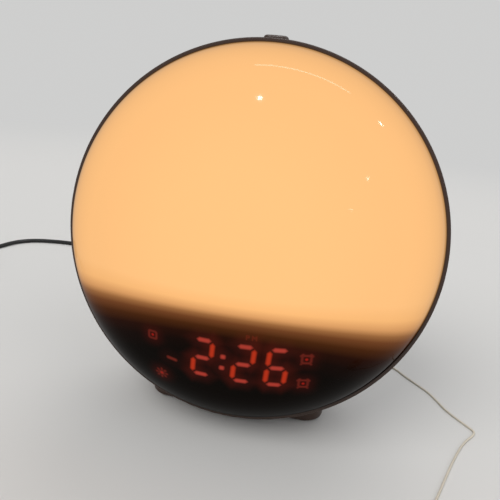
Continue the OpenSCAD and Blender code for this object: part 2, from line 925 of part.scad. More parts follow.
module power_lead_coil() {
    color("#101010")
        coil_ring(power_coil_at, power_coil_mid, power_coil_turns, lead_d);
}

usb_relief_l = 12;
usb_grip = [18, 13, 7.6];
usb_shell = [12, 12, 4.5];

module on_usb() {
    translate(usb_at)
        rotate([0, 0, usb_turn])
            children();
}

module usb_plug() {
    color("#151515")
        on_usb() {
            rotate([0, 90, 0])
                cylinder(h = usb_relief_l + eps, r1 = relief_tip_r, r2 = 3);
            translate([usb_relief_l, -usb_grip[1] / 2, -usb_grip[2] / 2])
                cube(usb_grip);
        }
}

module usb_plug_shell() {
    color("silver")
        on_usb()
            translate([usb_relief_l + usb_grip[0], -usb_shell[1] / 2, -usb_shell[2] / 2])
                difference() {
                    cube(usb_shell);
                    translate([1, 0.4, usb_shell[2] / 2])
                        cube([usb_shell[0], usb_shell[1] - 0.8, usb_shell[2] / 2 - 0.4]);
                }
}

module aerial_grommet() {
    color("#1a1a1a")
        on_face()
            translate([aerial_x, aerial_y, -back_z])
                difference() {
                    union() {
                        translate([0, 0, -2.5])
                            cylinder(h = 2.5, r1 = 1.4, r2 = grommet_r + 1);
                        cylinder(h = shell_wall, r = grommet_r);
                        translate([0, 0, shell_wall])
                            cylinder(h = 1.2, r = grommet_r + 1);
                    }
                    translate([0, 0, -3])
                        cylinder(h = 10, r = aerial_d / 2 + 0.15);
                }
}

module aerial_wire() {
    color("antiquewhite") {
        tube(smooth(aerial_route, 2), aerial_d / 2, 8);
        // The stretch inside the casing, up to the main board
        on_face()
            translate([aerial_x, aerial_y, -back_z - 2])
                cylinder(h = back_z + 2 - main_front - board_t, r = aerial_d / 2, $fn = 16);
    }
}

module aerial_wire_coil() {
    color("antiquewhite")
        coil_ring(aerial_coil_at, aerial_coil_mid, aerial_coil_turns, aerial_d);
}

// ---- speaker ----

cone_r = speaker_r - 6;
surround_r = speaker_r - 3;
cone_gap = 0.3;
magnet_r = 14;
magnet_bore_r = 4;
magnet_h = 7;
basket_z = -back_in + gasket_t;

module on_speaker(z) {
    on_face()
        translate([0, speaker_y, z])
            children();
}

module speaker_gasket() {
    color("dimgray")
        on_speaker(-back_in)
            difference() {
                cylinder(h = gasket_t, r = speaker_r);
                translate([0, 0, -1])
                    cylinder(h = gasket_t + 2, r = surround_r);
            }
}

module speaker_basket() {
    // Flange, open cup and back plate
    neck = speaker_h - magnet_h - gasket_t;
    color("gray")
        on_speaker(basket_z)
            difference() {
                rotate_extrude()
                    polygon([[surround_r, 0], [speaker_r, 0], [speaker_r, flange_t],
                        [surround_r + 1, flange_t], [magnet_r, neck], [magnet_bore_r, neck],
                        [magnet_bore_r, neck - 1],
                        [magnet_r - 1, neck - 1], [surround_r, flange_t]]);
                for (a = [0 : 60 : 300])
                    rotate([0, 0, a])
                        translate([magnet_r + 4, 0, flange_t + 0.5])
                            cylinder(h = neck, r = 2.6);
            }
}

module speaker_magnet() {
    color("#2b2b2b")
        on_speaker(basket_z + speaker_h - magnet_h - gasket_t)
            difference() {
                cylinder(h = magnet_h, r = magnet_r);
                translate([0, 0, -1])
                    cylinder(h = magnet_h, r = magnet_bore_r);
            }
}

module speaker_cone() {
    // Dust cap, cone and the former that runs in the magnet
    edge = cone_r - cone_gap;
    former_r = magnet_bore_r - 0.4;
    color("#202020")
        on_speaker(basket_z)
            rotate_extrude()
                polygon([[0, 2.2], [4, 3.4], [6, 4.6], [edge, 0.5], [edge, 1.1], [6.4, 5.4],
                    [former_r, 5.4], [former_r, speaker_h - gasket_t - 4],
                    [former_r - 0.6, speaker_h - gasket_t - 4], [former_r - 0.6, 4], [0, 2.8]]);
}

module speaker_surround() {
    color("#101010")
        on_speaker(basket_z)
            rotate_extrude()
                polygon([[cone_r, 0.5], [(cone_r + surround_r) / 2, -0.5], [surround_r - fit, 0.5],
                    [surround_r - fit, 1.1], [(cone_r + surround_r) / 2, 0.1], [cone_r, 1.1]]);
}

module speaker_screws() {
    color("silver")
        on_speaker(basket_z + flange_t)
            at_speaker_screws(0) {
                cylinder(h = 1.4, r = 3);
                translate([0, 0, -flange_t - gasket_t - 0.8])
                    cylinder(h = flange_t + gasket_t + 1, r = screw_small_r);
            }
}

// ---- buttons and their switches ----

module band_ring(r0, r1, h0, h1) {
    translate([0, 0, -h1])
        difference() {
            cylinder(h = h1 - h0, r = r1, $fn = fine);
            translate([0, 0, -1])
                cylinder(h = h1 - h0 + 2, r = r0, $fn = fine);
        }
}

stem_r = 1.8;
stem_gap = 0.15;
lip_out = inner_r - frame_gap;
lip_in = lip_out - lip_t;
switch_top = side_board_x + board_t + switch_h + actuator_h;

// The body of a side button: cap, inner lip and stem, for the right-hand side
module side_button_body(y) {
    on_face() {
        intersection() {
            band_ring(lip_in, band_r + side_proud, 0, band_depth);
            translate([inner_r / 2, y, 0])
                side_pill(0);
        }
        intersection() {
            band_ring(lip_in, lip_out, 0, band_depth);
            translate([inner_r / 2, y, 0])
                side_pill(button_lip);
        }
        translate([switch_top + side_travel + stem_gap, y, -side_z])
            rotate([0, 90, 0])
                cylinder(h = sqrt(pow(lip_in + lip_t / 2, 2) - y * y) - switch_top
                    - side_travel - stem_gap, r = stem_r);
    }
}

module side_button(side, i) {
    color("#4a3830")
        if (side > 0)
            side_button_body(side_y[i]);
        else
            mirror([1, 0, 0])
                side_button_body(side_y[i]);
}

module button_sound() side_button(-1, 0);
module button_light() side_button(-1, 1);
module button_radio() side_button(-1, 2);
module button_sleep() side_button(-1, 3);
module button_down() side_button(1, 0);
module button_up() side_button(1, 1);
module button_alarm_1() side_button(1, 2);
module button_alarm_2() side_button(1, 3);

snooze_stem_x = 10;
snooze_switch_top = snooze_board_y + board_t + switch_h + actuator_h;

module snooze_bar() {
    color("#5a4538")
        on_face() {
            intersection() {
                band_ring(lip_in, band_r + snooze_proud, 0, band_depth);
                snooze_block(0);
            }
            intersection() {
                band_ring(lip_in, band_r + snooze_rib_proud, 0, band_depth);
                snooze_plate(snooze_rib_half, snooze_rib_w, snooze_rib_corner);
            }
            intersection() {
                band_ring(lip_in, lip_out, -frame_back + frame_gap, band_depth);
                snooze_block(button_lip);
            }
            for (x = [-1, 1])
                translate([x * snooze_stem_x, snooze_switch_top + snooze_travel + stem_gap, -snooze_z])
                    rotate([-90, 0, 0])
                        cylinder(h = sqrt(pow(lip_in + lip_t / 2, 2) - pow(snooze_stem_x, 2))
                            - snooze_switch_top - snooze_travel - stem_gap, r = stem_r);
        }
}

module tact_switch() {
    centred_box(switch_w, switch_w, switch_h);
    cylinder(h = switch_h + actuator_h, r = actuator_r);
}

module side_switch_board(side) {
    color("darkgreen")
        on_face()
            translate([side > 0 ? side_board_x : -side_board_x - board_t, -side_board_half,
                    frame_back - side_board_w])
                cube([board_t, 2 * side_board_half, side_board_w]);
}

module side_switches(side) {
    color("#2a2a2a")
        on_face()
            for (y = side_y)
                translate([side * (side_board_x + board_t), y, -side_z])
                    rotate([0, side * 90, 0])
                        tact_switch();
}

module left_switch_board() side_switch_board(-1);
module right_switch_board() side_switch_board(1);
module left_switches() side_switches(-1);
module right_switches() side_switches(1);

module snooze_board() {
    color("darkgreen")
        on_face()
            translate([-snooze_board_half, snooze_board_y, frame_back - side_board_w])
                cube([2 * snooze_board_half, board_t, side_board_w]);
}

module snooze_switches() {
    color("#2a2a2a")
        on_face()
            for (x = [-1, 1])
                translate([x * snooze_stem_x, snooze_board_y + board_t, -snooze_z])
                    rotate([-90, 0, 0])
                        tact_switch();
}

// ---- battery hatch ----

module battery_door() {
    color("#40302a")
        on_face()
            difference() {
                translate([0, hatch_y, -back_z])
                    centred_box(door_w, door_h, door_t);
                translate([door_screw_x, hatch_y, -back_z - 1]) {
                    cylinder(h = door_t + 2, r = screw_small_r + 0.25);
                    cylinder(h = 1.8, r = 2.3);
                }
            }
}

module door_screw() {
    color("silver")
        on_face()
            translate([door_screw_x, hatch_y, -back_z]) {
                cylinder(h = 0.8, r = 2.1);
                cylinder(h = door_screw_l, r = screw_small_r);
            }
}

module coin_cell() {
    color("silver")
        on_face()
            translate([pocket_shift, hatch_y, cell_z])
                cylinder(h = cell_t, r = cell_r);
}

module cell_clip() {
    // Side contact that grips the edge of the cell
    color("goldenrod")
        on_face()
            translate([pocket_shift - cell_r - 1.2, hatch_y, cell_z])
                centred_box(0.5, 8, pocket_top - cell_z);
}

module cell_spring() {
    // Bent leaf between the cell and the floor of its pocket
    leaf_z = cell_z + cell_t + leaf_gap;
    color("goldenrod")
        on_face()
            translate([pocket_shift, hatch_y, leaf_z]) {
                centred_box(14, 4, 0.4);
                for (x = [-1, 1])
                    translate([x * 6.8, 0, 0])
                        centred_box(0.4, 4, pocket_top - leaf_z);
            }
}

// ---- screws ----

module shell_screws() {
    color("silver")
        on_face()
            for (p = shell_screw_at)
                translate([p[0], p[1], -back_z + counterbore - screw_head_t]) {
                    cylinder(h = screw_head_t, r = screw_head_r);
                    cylinder(h = back_z - post_split + 8, r = screw_r);
                }
}

module dome_screws() {
    color("silver")
        on_face()
            for (a = dome_screw_a)
                rotate([0, 0, a])
                    translate([dome_boss_at, 0, frame_back - 1.6]) {
                        cylinder(h = 1.6, r = 2.6);
                        cylinder(h = frame_t + 6, r = screw_r);
                    }
}

module board_screw(l) {
    cylinder(h = 1.4, r = 2.2);
    translate([0, 0, -l])
        cylinder(h = l, r = screw_small_r);
}

module board_screws() {
    color("silver") {
        on_face() {
            for (p = light_hole_at)
                translate([p[0], p[1], frame_front + board_t])
                    board_screw(board_t + frame_t);
            for (p = main_hole_at)
                translate([p[0], p[1], -main_front - board_t])
                    mirror([0, 0, 1])
                        board_screw(board_t + 4);
        }
        on_display()
            for (p = disp_hole_at)
                translate([p[0], p[1], -disp_depth])
                    board_screw(board_t + 4);
    }
}

// ---- inside wiring ----

ribbon_y = -56;
ribbon_w = 12;
ribbon_t = 0.6;
light_lead_y = -16;
wire_r = 0.6;
speaker_lead_z = -back_in + gasket_t + flange_t + (speaker_h - magnet_h) / 2;

module display_ribbon() {
    // Flat cable from the back of the display board, through the frame, to the main board
    color("gray")
        on_face()
            translate([-ribbon_w / 2, ribbon_y - ribbon_t / 2, -main_front])
                cube([ribbon_w, ribbon_t, main_front + ribbon_top()]);
}

// Height of the display board's back over the ribbon
function ribbon_top() =
    let (q = display_point(0, 0, -disp_depth - board_t))
        q[2] + (ribbon_y - q[1]) * tan(disp_pitch) - 0.3;

module light_board_lead() {
    color("firebrick")
        on_face()
            for (x = [-1, 1])
                wire([[x, light_lead_y, -main_front], [x, light_lead_y, frame_front + board_t + 1],
                    [x, light_lead_y + 5, frame_front + board_t + wire_r + 0.1]], wire_r);
}

module speaker_leads() {
    // From the side of the basket down to the main board
    color("firebrick")
        on_face()
            for (x = [-1, 1])
                wire([[x * 2, speaker_y - (surround_r + magnet_r) / 2, speaker_lead_z],
                    [x * 2, main_top - 2.5, speaker_lead_z],
                    [x * 2, main_top - 2.5, -main_front - board_t]], wire_r);
}

module jack_leads() {
    color("firebrick")
        on_face()
            for (x = [-1, 1])
                translate([jack_x + x * 2, jack_y, -back_in + jack_depth])
                    cylinder(h = back_in - jack_depth - main_front - board_t, r = wire_r, $fn = 16);
}

front_dome();
rear_shell();
inner_frame();
light_board();
white_leds();
colour_leds();
display_housing();
display_segments();
display_icons();
display_board();
main_board();
main_chips();
crystal();
capacitors();
dc_jack();
dc_plug();
power_lead();
power_lead_coil();
usb_plug();
usb_plug_shell();
aerial_grommet();
aerial_wire();
aerial_wire_coil();
speaker_basket();
speaker_magnet();
speaker_cone();
speaker_surround();
speaker_gasket();
speaker_screws();
snooze_bar();
snooze_board();
snooze_switches();
button_sound();
button_light();
button_radio();
button_sleep();
button_down();
button_up();
button_alarm_1();
button_alarm_2();
left_switch_board();
right_switch_board();
left_switches();
right_switches();
battery_door();
door_screw();
coin_cell();
cell_clip();
cell_spring();
foot_pad();
shell_screws();
dome_screws();
board_screws();
display_ribbon();
light_board_lead();
speaker_leads();
jack_leads();
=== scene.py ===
import math

import bmesh
import bpy
import numpy as np
from mathutils import Matrix, Vector


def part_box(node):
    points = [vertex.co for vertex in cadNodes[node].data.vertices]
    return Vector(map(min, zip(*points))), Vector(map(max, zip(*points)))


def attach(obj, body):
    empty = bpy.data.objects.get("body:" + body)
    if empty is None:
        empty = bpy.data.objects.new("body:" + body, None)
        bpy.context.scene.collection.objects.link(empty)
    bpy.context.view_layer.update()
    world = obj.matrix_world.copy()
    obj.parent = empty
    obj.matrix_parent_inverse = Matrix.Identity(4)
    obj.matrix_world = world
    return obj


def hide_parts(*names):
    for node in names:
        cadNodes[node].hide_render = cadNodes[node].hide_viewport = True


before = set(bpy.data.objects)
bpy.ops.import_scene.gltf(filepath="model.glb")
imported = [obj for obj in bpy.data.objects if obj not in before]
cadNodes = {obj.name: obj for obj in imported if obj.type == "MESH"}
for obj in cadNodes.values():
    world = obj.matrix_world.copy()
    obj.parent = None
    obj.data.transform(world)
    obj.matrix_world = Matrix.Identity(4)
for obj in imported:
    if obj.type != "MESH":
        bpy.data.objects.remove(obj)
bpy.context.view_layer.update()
scene = bpy.context.scene
scene.view_settings.view_transform = "Standard"
print("frame loaded")

# Lengths are millimetres in the face's own frame: x to the right, y up the face, z out of it.
mm = 0.001

casing = {
    "tilt": 8, "rimRadius": 86, "rimClear": 4, "rimWidth": 1.7, "rimDepth": 3, "rimStep": 0.8,
    "bandDepth": 20, "backRound": 24, "wall": 2.4, "seat": 4,
}
domeShape = {"height": 37, "round": 37, "sink": 11, "wall": 2.2, "gap": 0.2}

bandRadius = casing["rimRadius"] - casing["rimStep"]
innerRadius = bandRadius - casing["wall"]
flatRadius = bandRadius - casing["backRound"]
backDepth = casing["bandDepth"] + casing["backRound"]
backInside = backDepth - casing["wall"]
rebateRadius = casing["rimRadius"] - casing["rimWidth"]
tilt = math.radians(casing["tilt"])

# The dome is a shallow crown arc that runs into a shoulder arc.
domeRadius = rebateRadius - domeShape["gap"]
shoulderAt = domeRadius - math.sqrt(domeShape["round"] ** 2 - domeShape["sink"] ** 2)
crownRise = domeShape["height"] - domeShape["round"]
crownFall = crownRise + domeShape["sink"]
crownAt = (crownRise ** 2 - shoulderAt ** 2 - domeShape["sink"] ** 2) / (2 * crownFall)
crownRadius = domeShape["height"] - crownAt
crownAngle = math.asin(shoulderAt / (crownRadius - domeShape["round"]))

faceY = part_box("front_dome")[0][1] / mm + crownAt * math.cos(tilt) + crownRadius
faceZ = casing["rimClear"] + casing["rimRadius"] * math.cos(tilt)
faceTurn = Matrix.Rotation(math.pi / 2 - tilt, 4, "X")
faceToRow = Matrix.Translation((0, faceY, faceZ)) @ faceTurn
rowToFace = faceToRow.inverted()


def onFace(x, y, z):
    return faceToRow @ Vector((x, y, z)) * mm


# Camera, at the height and distance from which the clock is looked at on a table.
viewpoint = {"azimuth": 8.13, "elevation": 8.17, "distance": 223.9, "roll": 6.7,
             "target": (0.85, -4.98, 0), "lens": 36}


def eyePlace():
    az, el = math.radians(viewpoint["azimuth"]), math.radians(viewpoint["elevation"])
    out = Vector((math.sin(az) * math.cos(el), math.sin(el), math.cos(az) * math.cos(el)))
    return out * viewpoint["distance"]


def placeCamera():
    roll = math.radians(viewpoint["roll"])
    eye = eyePlace()
    ahead = (Vector(viewpoint["target"]) - eye).normalized()
    side = ahead.cross(Vector((0, 1, 0))).normalized()
    up = side.cross(ahead)
    across = side * math.cos(roll) + up * math.sin(roll)
    rise = up * math.cos(roll) - side * math.sin(roll)
    turn = Matrix((across, rise, -ahead)).transposed().to_4x4()
    camera = bpy.data.objects.new("camera", bpy.data.cameras.new("camera"))
    camera.matrix_world = Matrix.Translation(onFace(*eye)) @ faceTurn @ turn
    camera.data.lens = viewpoint["lens"]
    camera.data.sensor_width = 36
    camera.data.sensor_fit = "HORIZONTAL"
    camera.data.clip_start = 0.005
    scene.collection.objects.link(camera)
    scene.camera = camera


placeCamera()
print("camera placed")


# Nodes of a material or of a Geometry Nodes tree.
def addNode(tree, kind, inputs=None, **settings):
    node = tree.nodes.new(kind)
    for name, value in settings.items():
        setattr(node, name, value)
    for socket, value in (inputs or {}).items():
        if isinstance(value, bpy.types.NodeSocket):
            tree.links.new(value, node.inputs[socket])
        else:
            node.inputs[socket].default_value = value
    return node


def calc(tree, operation, *values):
    return addNode(tree, "ShaderNodeMath", dict(enumerate(values)), operation=operation).outputs[0]


def mixColours(tree, share, first, second, blend="MIX"):
    node = addNode(tree, "ShaderNodeMix", {0: share, 6: first, 7: second},
                   data_type="RGBA", blend_type=blend)
    return node.outputs[2]


def spread(tree, value, low, high, toLow=0.0, toHigh=1.0, smooth=True):
    kind = "SMOOTHSTEP" if smooth else "LINEAR"
    return addNode(tree, "ShaderNodeMapRange", {0: value, 1: low, 2: high, 3: toLow, 4: toHigh},
                   interpolation_type=kind).outputs[0]


def linear(red, green, blue):
    def one(c):
        c /= 255
        return c / 12.92 if c <= 0.04045 else ((c + 0.055) / 1.055) ** 2.4
    return (one(red), one(green), one(blue), 1.0)


def shades(colour, factor):
    return tuple(min(c * factor, 1.0) for c in colour[:3]) + (1.0,)


def newMaterial(name, **sockets):
    material = bpy.data.materials.new(name)
    material.use_nodes = True
    shader = material.node_tree.nodes["Principled BSDF"]
    for key, value in sockets.items():
        shader.inputs[key.replace("_", " ")].default_value = value
    return material, material.node_tree, shader


def noise(tree, scale, detail=3.0, roughness=0.5):
    place = addNode(tree, "ShaderNodeTexCoord").outputs["Object"]
    settings = {"Vector": place, "Scale": scale, "Detail": detail, "Roughness": roughness}
    return addNode(tree, "ShaderNodeTexNoise", settings).outputs[0]


# Moulded plastic and rubber: fine spark-eroded grain, soft clouds in tone and gloss.
def mouldedPlastic(name, colour, rough=0.5, grain=1800, depth=0.00002, clouds=0.08, gloss=0.5,
                   subsurface=0.0):
    material, tree, shader = newMaterial(name, Roughness=rough, Specular_IOR_Level=gloss,
                                         Subsurface_Weight=subsurface)
    if subsurface:
        shader.inputs["Subsurface Scale"].default_value = 0.002
    tone = noise(tree, 55, 4)
    tree.links.new(mixColours(tree, tone, shades(colour, 1 - clouds), shades(colour, 1 + clouds)),
                   shader.inputs["Base Color"])
    tree.links.new(spread(tree, noise(tree, 140), 0.3, 0.7, rough - 0.03, rough + 0.03),
                   shader.inputs["Roughness"])
    bump = addNode(tree, "ShaderNodeBump",
                   {"Height": noise(tree, grain, 2), "Strength": 0.6, "Distance": depth})
    tree.links.new(bump.outputs[0], shader.inputs["Normal"])
    return material


# Metal: drawn or plated, with fine lines along one axis and a few darker clouds.
def workedMetal(name, colour, rough=0.3, stretch=(1, 1, 14)):
    material, tree, shader = newMaterial(name, Metallic=1.0, Roughness=rough)
    place = addNode(tree, "ShaderNodeTexCoord").outputs["Object"]
    drawn = addNode(tree, "ShaderNodeMapping", {"Vector": place, "Scale": stretch}).outputs[0]
    lines = addNode(tree, "ShaderNodeTexNoise", {"Vector": drawn, "Scale": 900, "Detail": 2}).outputs[0]
    cloud = noise(tree, 90)
    tree.links.new(mixColours(tree, cloud, shades(colour, 0.86), colour), shader.inputs["Base Color"])
    tree.links.new(spread(tree, lines, 0.3, 0.7, rough - 0.08, rough + 0.1), shader.inputs["Roughness"])
    bump = addNode(tree, "ShaderNodeBump", {"Height": lines, "Strength": 0.3, "Distance": 0.00001})
    tree.links.new(bump.outputs[0], shader.inputs["Normal"])
    return material


# Circuit board: solder mask over copper tracks, which show as paler lines on a grid.
def circuitBoard(name, mask, track):
    material, tree, shader = newMaterial(name, Roughness=0.35)
    place = addNode(tree, "ShaderNodeTexCoord").outputs["Object"]
    cells = addNode(tree, "ShaderNodeTexBrick", {
        "Vector": place, "Color1": mask, "Color2": shades(mask, 0.8), "Mortar": track,
        "Scale": 260.0, "Mortar Size": 0.05, "Brick Width": 0.9, "Row Height": 0.35})
    tree.links.new(cells.outputs[0], shader.inputs["Base Color"])
    bump = addNode(tree, "ShaderNodeBump",
                   {"Height": cells.outputs[1], "Strength": 0.4, "Distance": 0.00003})
    tree.links.new(bump.outputs[0], shader.inputs["Normal"])
    return material


# Cord jacket: soft plastic with faint rings from the extruder along the cord's own length.
def cordJacket(name, colour, rough, ringScale):
    material, tree, shader = newMaterial(name, Roughness=rough)
    along = addNode(tree, "ShaderNodeTexCoord").outputs["UV"]
    rings = addNode(tree, "ShaderNodeTexWave", {"Vector": along, "Scale": ringScale, "Distortion": 2.0,
                                                "Detail": 2.0}).outputs["Fac"]
    cloud = noise(tree, 70)
    tree.links.new(mixColours(tree, cloud, shades(colour, 0.8), shades(colour, 1.15)),
                   shader.inputs["Base Color"])
    tree.links.new(spread(tree, cloud, 0.3, 0.7, rough - 0.08, rough + 0.08),
                   shader.inputs["Roughness"])
    bump = addNode(tree, "ShaderNodeBump", {"Height": rings, "Strength": 0.15, "Distance": 0.00002})
    tree.links.new(bump.outputs[0], shader.inputs["Normal"])
    return material


# Meshes are made in the face's frame and moved to their place in the row frame at the end.
def newObject(name, mesh):
    obj = bpy.data.objects.new(name, mesh)
    scene.collection.objects.link(obj)
    return obj


def meshFrom(name, bm):
    bmesh.ops.recalc_face_normals(bm, faces=bm.faces)
    mesh = bpy.data.meshes.new(name)
    bm.to_mesh(mesh)
    bm.free()
    return newObject(name, mesh)


def stitch(bm, rows, closed=True):
    for low, high in zip(rows, rows[1:]):
        count = max(len(low), len(high))
        for i in range(count if closed else count - 1):
            j = (i + 1) % count
            corners = [low[i % len(low)], low[j % len(low)], high[j % len(high)], high[i % len(high)]]
            bm.faces.new(list(dict.fromkeys(corners)))


# Loops of equal length joined into one closed skin with flat ends.
def stack(name, loops):
    bm = bmesh.new()
    rows = [[bm.verts.new(p) for p in loop] for loop in loops]
    stitch(bm, rows)
    bm.faces.new(rows[0])
    bm.faces.new(rows[-1])
    return meshFrom(name, bm)


# Outline of (radius, height) points spun round z; ends at radius 0 become single points.
def lathe(name, outline, steps, centre=(0, 0)):
    bm = bmesh.new()
    angles = [2 * math.pi * i / steps for i in range(steps)]
    turns = [(math.cos(a), math.sin(a)) for a in angles]
    rows = []
    for r, z in outline:
        ring = turns if r > 1e-6 else [(0, 0)]
        rows.append([bm.verts.new((centre[0] + r * c, centre[1] + r * s, z)) for c, s in ring])
    stitch(bm, rows)
    if outline[0][0] > 1e-6:
        stitch(bm, [rows[-1], rows[0]])
    return meshFrom(name, bm)


def arc(cx, cz, r, start, end, steps):
    angles = [math.radians(start + (end - start) * i / steps) for i in range(steps + 1)]
    return [(cx + r * math.cos(a), cz + r * math.sin(a)) for a in angles]


def roundedOutline(width, height, corner, steps=8):
    points = []
    for quarter, (sx, sy) in enumerate([(1, 1), (-1, 1), (-1, -1), (1, -1)]):
        cx, cy = sx * (width / 2 - corner), sy * (height / 2 - corner)
        points += arc(cx, cy, corner, 90 * quarter, 90 * quarter + 90, steps)
    return points


# Loops of one rounded plate: an inset and a level each, set in their place by a function.
def plateLoops(width, height, corner, levels, place, steps=8, cornerShare=1.0):
    loops = []
    for inset, level in levels:
        outline = roundedOutline(width - 2 * inset, height - 2 * inset,
                                 corner - cornerShare * inset, steps)
        loops.append([place(a, b, level) for a, b in outline])
    return loops


def applyModifiers(obj):
    bpy.context.view_layer.update()
    mesh = bpy.data.meshes.new_from_object(obj.evaluated_get(bpy.context.evaluated_depsgraph_get()))
    obj.modifiers.clear()
    obj.data = mesh


def combine(target, tool, operation):
    step = target.modifiers.new("combine", "BOOLEAN")
    step.operation = operation
    step.solver = "MANIFOLD"
    step.object = tool
    applyModifiers(target)
    bpy.data.objects.remove(tool)


def joinObjects(name, parts):
    bm = bmesh.new()
    for part in parts:
        bm.from_mesh(part.data)
        bpy.data.objects.remove(part)
    return meshFrom(name, bm)


# Last steps of a piece: place, shading, material, body, slot and the solids it stands for.
def finishPiece(obj, material, body, nodes=(), place=None, sharp=32):
    obj.data.transform(Matrix.Scale(mm, 4) @ (faceToRow if place is None else place))
    obj.data.materials.clear()
    obj.data.materials.append(material)
    for polygon in obj.data.polygons:
        polygon.use_smooth = True
        polygon.material_index = 0
    obj.data.set_sharp_from_angle(angle=math.radians(sharp))
    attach(obj, body)
    if nodes:
        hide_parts(*nodes)
    return obj


# A Geometry Nodes tree with named inputs, and the mesh that it makes on an empty object.
def newTree(name, inputs):
    tree = bpy.data.node_groups.new(name, "GeometryNodeTree")
    tree.interface.new_socket("Geometry", in_out="OUTPUT", socket_type="NodeSocketGeometry")
    for label, kind in inputs.items():
        tree.interface.new_socket(label, in_out="INPUT", socket_type="NodeSocket" + kind)
    source = tree.nodes.new("NodeGroupInput")
    return tree, source.outputs


def endTree(tree, geometry, material):
    whole = addNode(tree, "GeometryNodeRealizeInstances", {0: geometry}).outputs[0]
    dressed = addNode(tree, "GeometryNodeSetMaterial",
                      {"Geometry": whole, "Material": material}).outputs[0]
    tree.links.new(dressed, tree.nodes.new("NodeGroupOutput").inputs[0])


def growMesh(name, tree, values):
    obj = newObject(name, bpy.data.meshes.new(name))
    modifier = obj.modifiers.new(tree.name, "NODES")
    modifier.node_group = tree
    for item in tree.interface.items_tree:
        if item.item_type == "SOCKET" and item.in_out == "INPUT" and item.name in values:
            modifier[item.identifier] = values[item.name]
    applyModifiers(obj)
    return obj


# Rings of copies, 6 more in each ring, from one running number.
def ringsTree():
    tree, given = newTree("rings of copies", {"Shape": "Object", "Count": "Int", "Pitch": "Float",
                                              "Material": "Material"})
    number = tree.nodes.new("GeometryNodeInputIndex").outputs[0]
    root = calc(tree, "SQRT", calc(tree, "MULTIPLY_ADD", number, 12.0, 9.0))
    ring = calc(tree, "CEIL", calc(tree, "DIVIDE", calc(tree, "SUBTRACT", root, 3.001), 6.0))
    tripled = calc(tree, "MULTIPLY", ring, 3.0)
    before = calc(tree, "MULTIPLY", tripled, calc(tree, "SUBTRACT", ring, 1.0))
    inRing = calc(tree, "SUBTRACT", calc(tree, "SUBTRACT", number, 1.0), before)
    angle = calc(tree, "MULTIPLY", calc(tree, "DIVIDE", inRing, ring), math.pi / 3)
    away = calc(tree, "MULTIPLY", ring, given["Pitch"])
    place = addNode(tree, "ShaderNodeCombineXYZ", {
        0: calc(tree, "MULTIPLY", away, calc(tree, "COSINE", angle)),
        1: calc(tree, "MULTIPLY", away, calc(tree, "SINE", angle))}).outputs[0]
    points = addNode(tree, "GeometryNodePoints",
                     {"Count": given["Count"], "Position": place}).outputs[0]
    shape = addNode(tree, "GeometryNodeObjectInfo", {"Object": given["Shape"]}).outputs["Geometry"]
    copies = addNode(tree, "GeometryNodeInstanceOnPoints", {"Points": points, "Instance": shape})
    endTree(tree, copies.outputs[0], given["Material"])
    return tree


# A row of copies at even steps.
def rowTree():
    tree, given = newTree("row of copies", {"Shape": "Object", "Count": "Int", "Start": "Vector",
                                            "Step": "Vector", "Material": "Material"})
    line = addNode(tree, "GeometryNodeMeshLine", {
        "Count": given["Count"], "Start Location": given["Start"], "Offset": given["Step"]}).outputs[0]
    shape = addNode(tree, "GeometryNodeObjectInfo", {"Object": given["Shape"]}).outputs["Geometry"]
    copies = addNode(tree, "GeometryNodeInstanceOnPoints", {"Points": line, "Instance": shape})
    endTree(tree, copies.outputs[0], given["Material"])
    return tree


# Copies at the corners of another object's mesh.
def cornersTree():
    tree, given = newTree("copies at corners", {"Shape": "Object", "Corners": "Object",
                                                "Material": "Material"})
    corners = addNode(tree, "GeometryNodeObjectInfo", {"Object": given["Corners"]}).outputs["Geometry"]
    shape = addNode(tree, "GeometryNodeObjectInfo", {"Object": given["Shape"]}).outputs["Geometry"]
    copies = addNode(tree, "GeometryNodeInstanceOnPoints", {"Points": corners, "Instance": shape})
    endTree(tree, copies.outputs[0], given["Material"])
    return tree


rings, row, corners = ringsTree(), rowTree(), cornersTree()


def drop(*objects):
    for obj in objects:
        bpy.data.objects.remove(obj)


# Finishes of the clock. The shell's and the buttons' dark warm brown is painted shade on a white
# casing, warmed by painted glow from the dome.
colours = {
    "shell": linear(55, 38, 29), "button": linear(61, 44, 36), "rubber": linear(24, 23, 23),
    "cord": linear(12, 12, 13), "aerial": linear(205, 196, 180), "steel": (0.56, 0.56, 0.57, 1),
    "brass": (0.72, 0.5, 0.2, 1), "ivory": linear(232, 226, 212), "block": linear(30, 24, 24),
}
shellPlastic = mouldedPlastic("shell plastic", colours["shell"], 0.42, 1600, 0.00003, 0.06, 0.45)
buttonPlastic = mouldedPlastic("button plastic", colours["button"], 0.36, 2200, 0.00002, 0.05, 0.5)
footRubber = mouldedPlastic("foot rubber", colours["rubber"], 0.75, 1400, 0.00005, 0.15, 0.3)
framePlastic = mouldedPlastic("frame plastic", colours["ivory"], 0.5, 1200, 0.00003, 0.03, 0.4, 0.1)
blockPlastic = mouldedPlastic("reflector plastic", colours["block"], 0.55, 1500, 0.00003, 0.08)
plugPlastic = mouldedPlastic("plug plastic", colours["cord"], 0.45, 1800, 0.00004, 0.1, 0.45)
socketPlastic = mouldedPlastic("socket plastic", colours["cord"], 0.3, 2500, 0.00001, 0.05, 0.5)
chipEpoxy = mouldedPlastic("chip epoxy", linear(34, 34, 36), 0.4, 2600, 0.00002, 0.05)
sleeveFilm = mouldedPlastic("capacitor sleeve", linear(40, 46, 60), 0.25, 900, 0.00001, 0.1, 0.6)
redLens = mouldedPlastic("red lens", linear(176, 30, 22), 0.3, 1500, 0.00001, 0.05, 0.5, 0.2)
lampLens = mouldedPlastic("lamp lens", linear(238, 226, 180), 0.25, 1500, 0.00001, 0.05, 0.5, 0.3)
conePaper = mouldedPlastic("cone paper", linear(44, 42, 40), 0.85, 900, 0.00012, 0.2, 0.1)
gasketFoam = mouldedPlastic("gasket foam", linear(70, 70, 72), 0.95, 700, 0.0002, 0.2, 0.1)
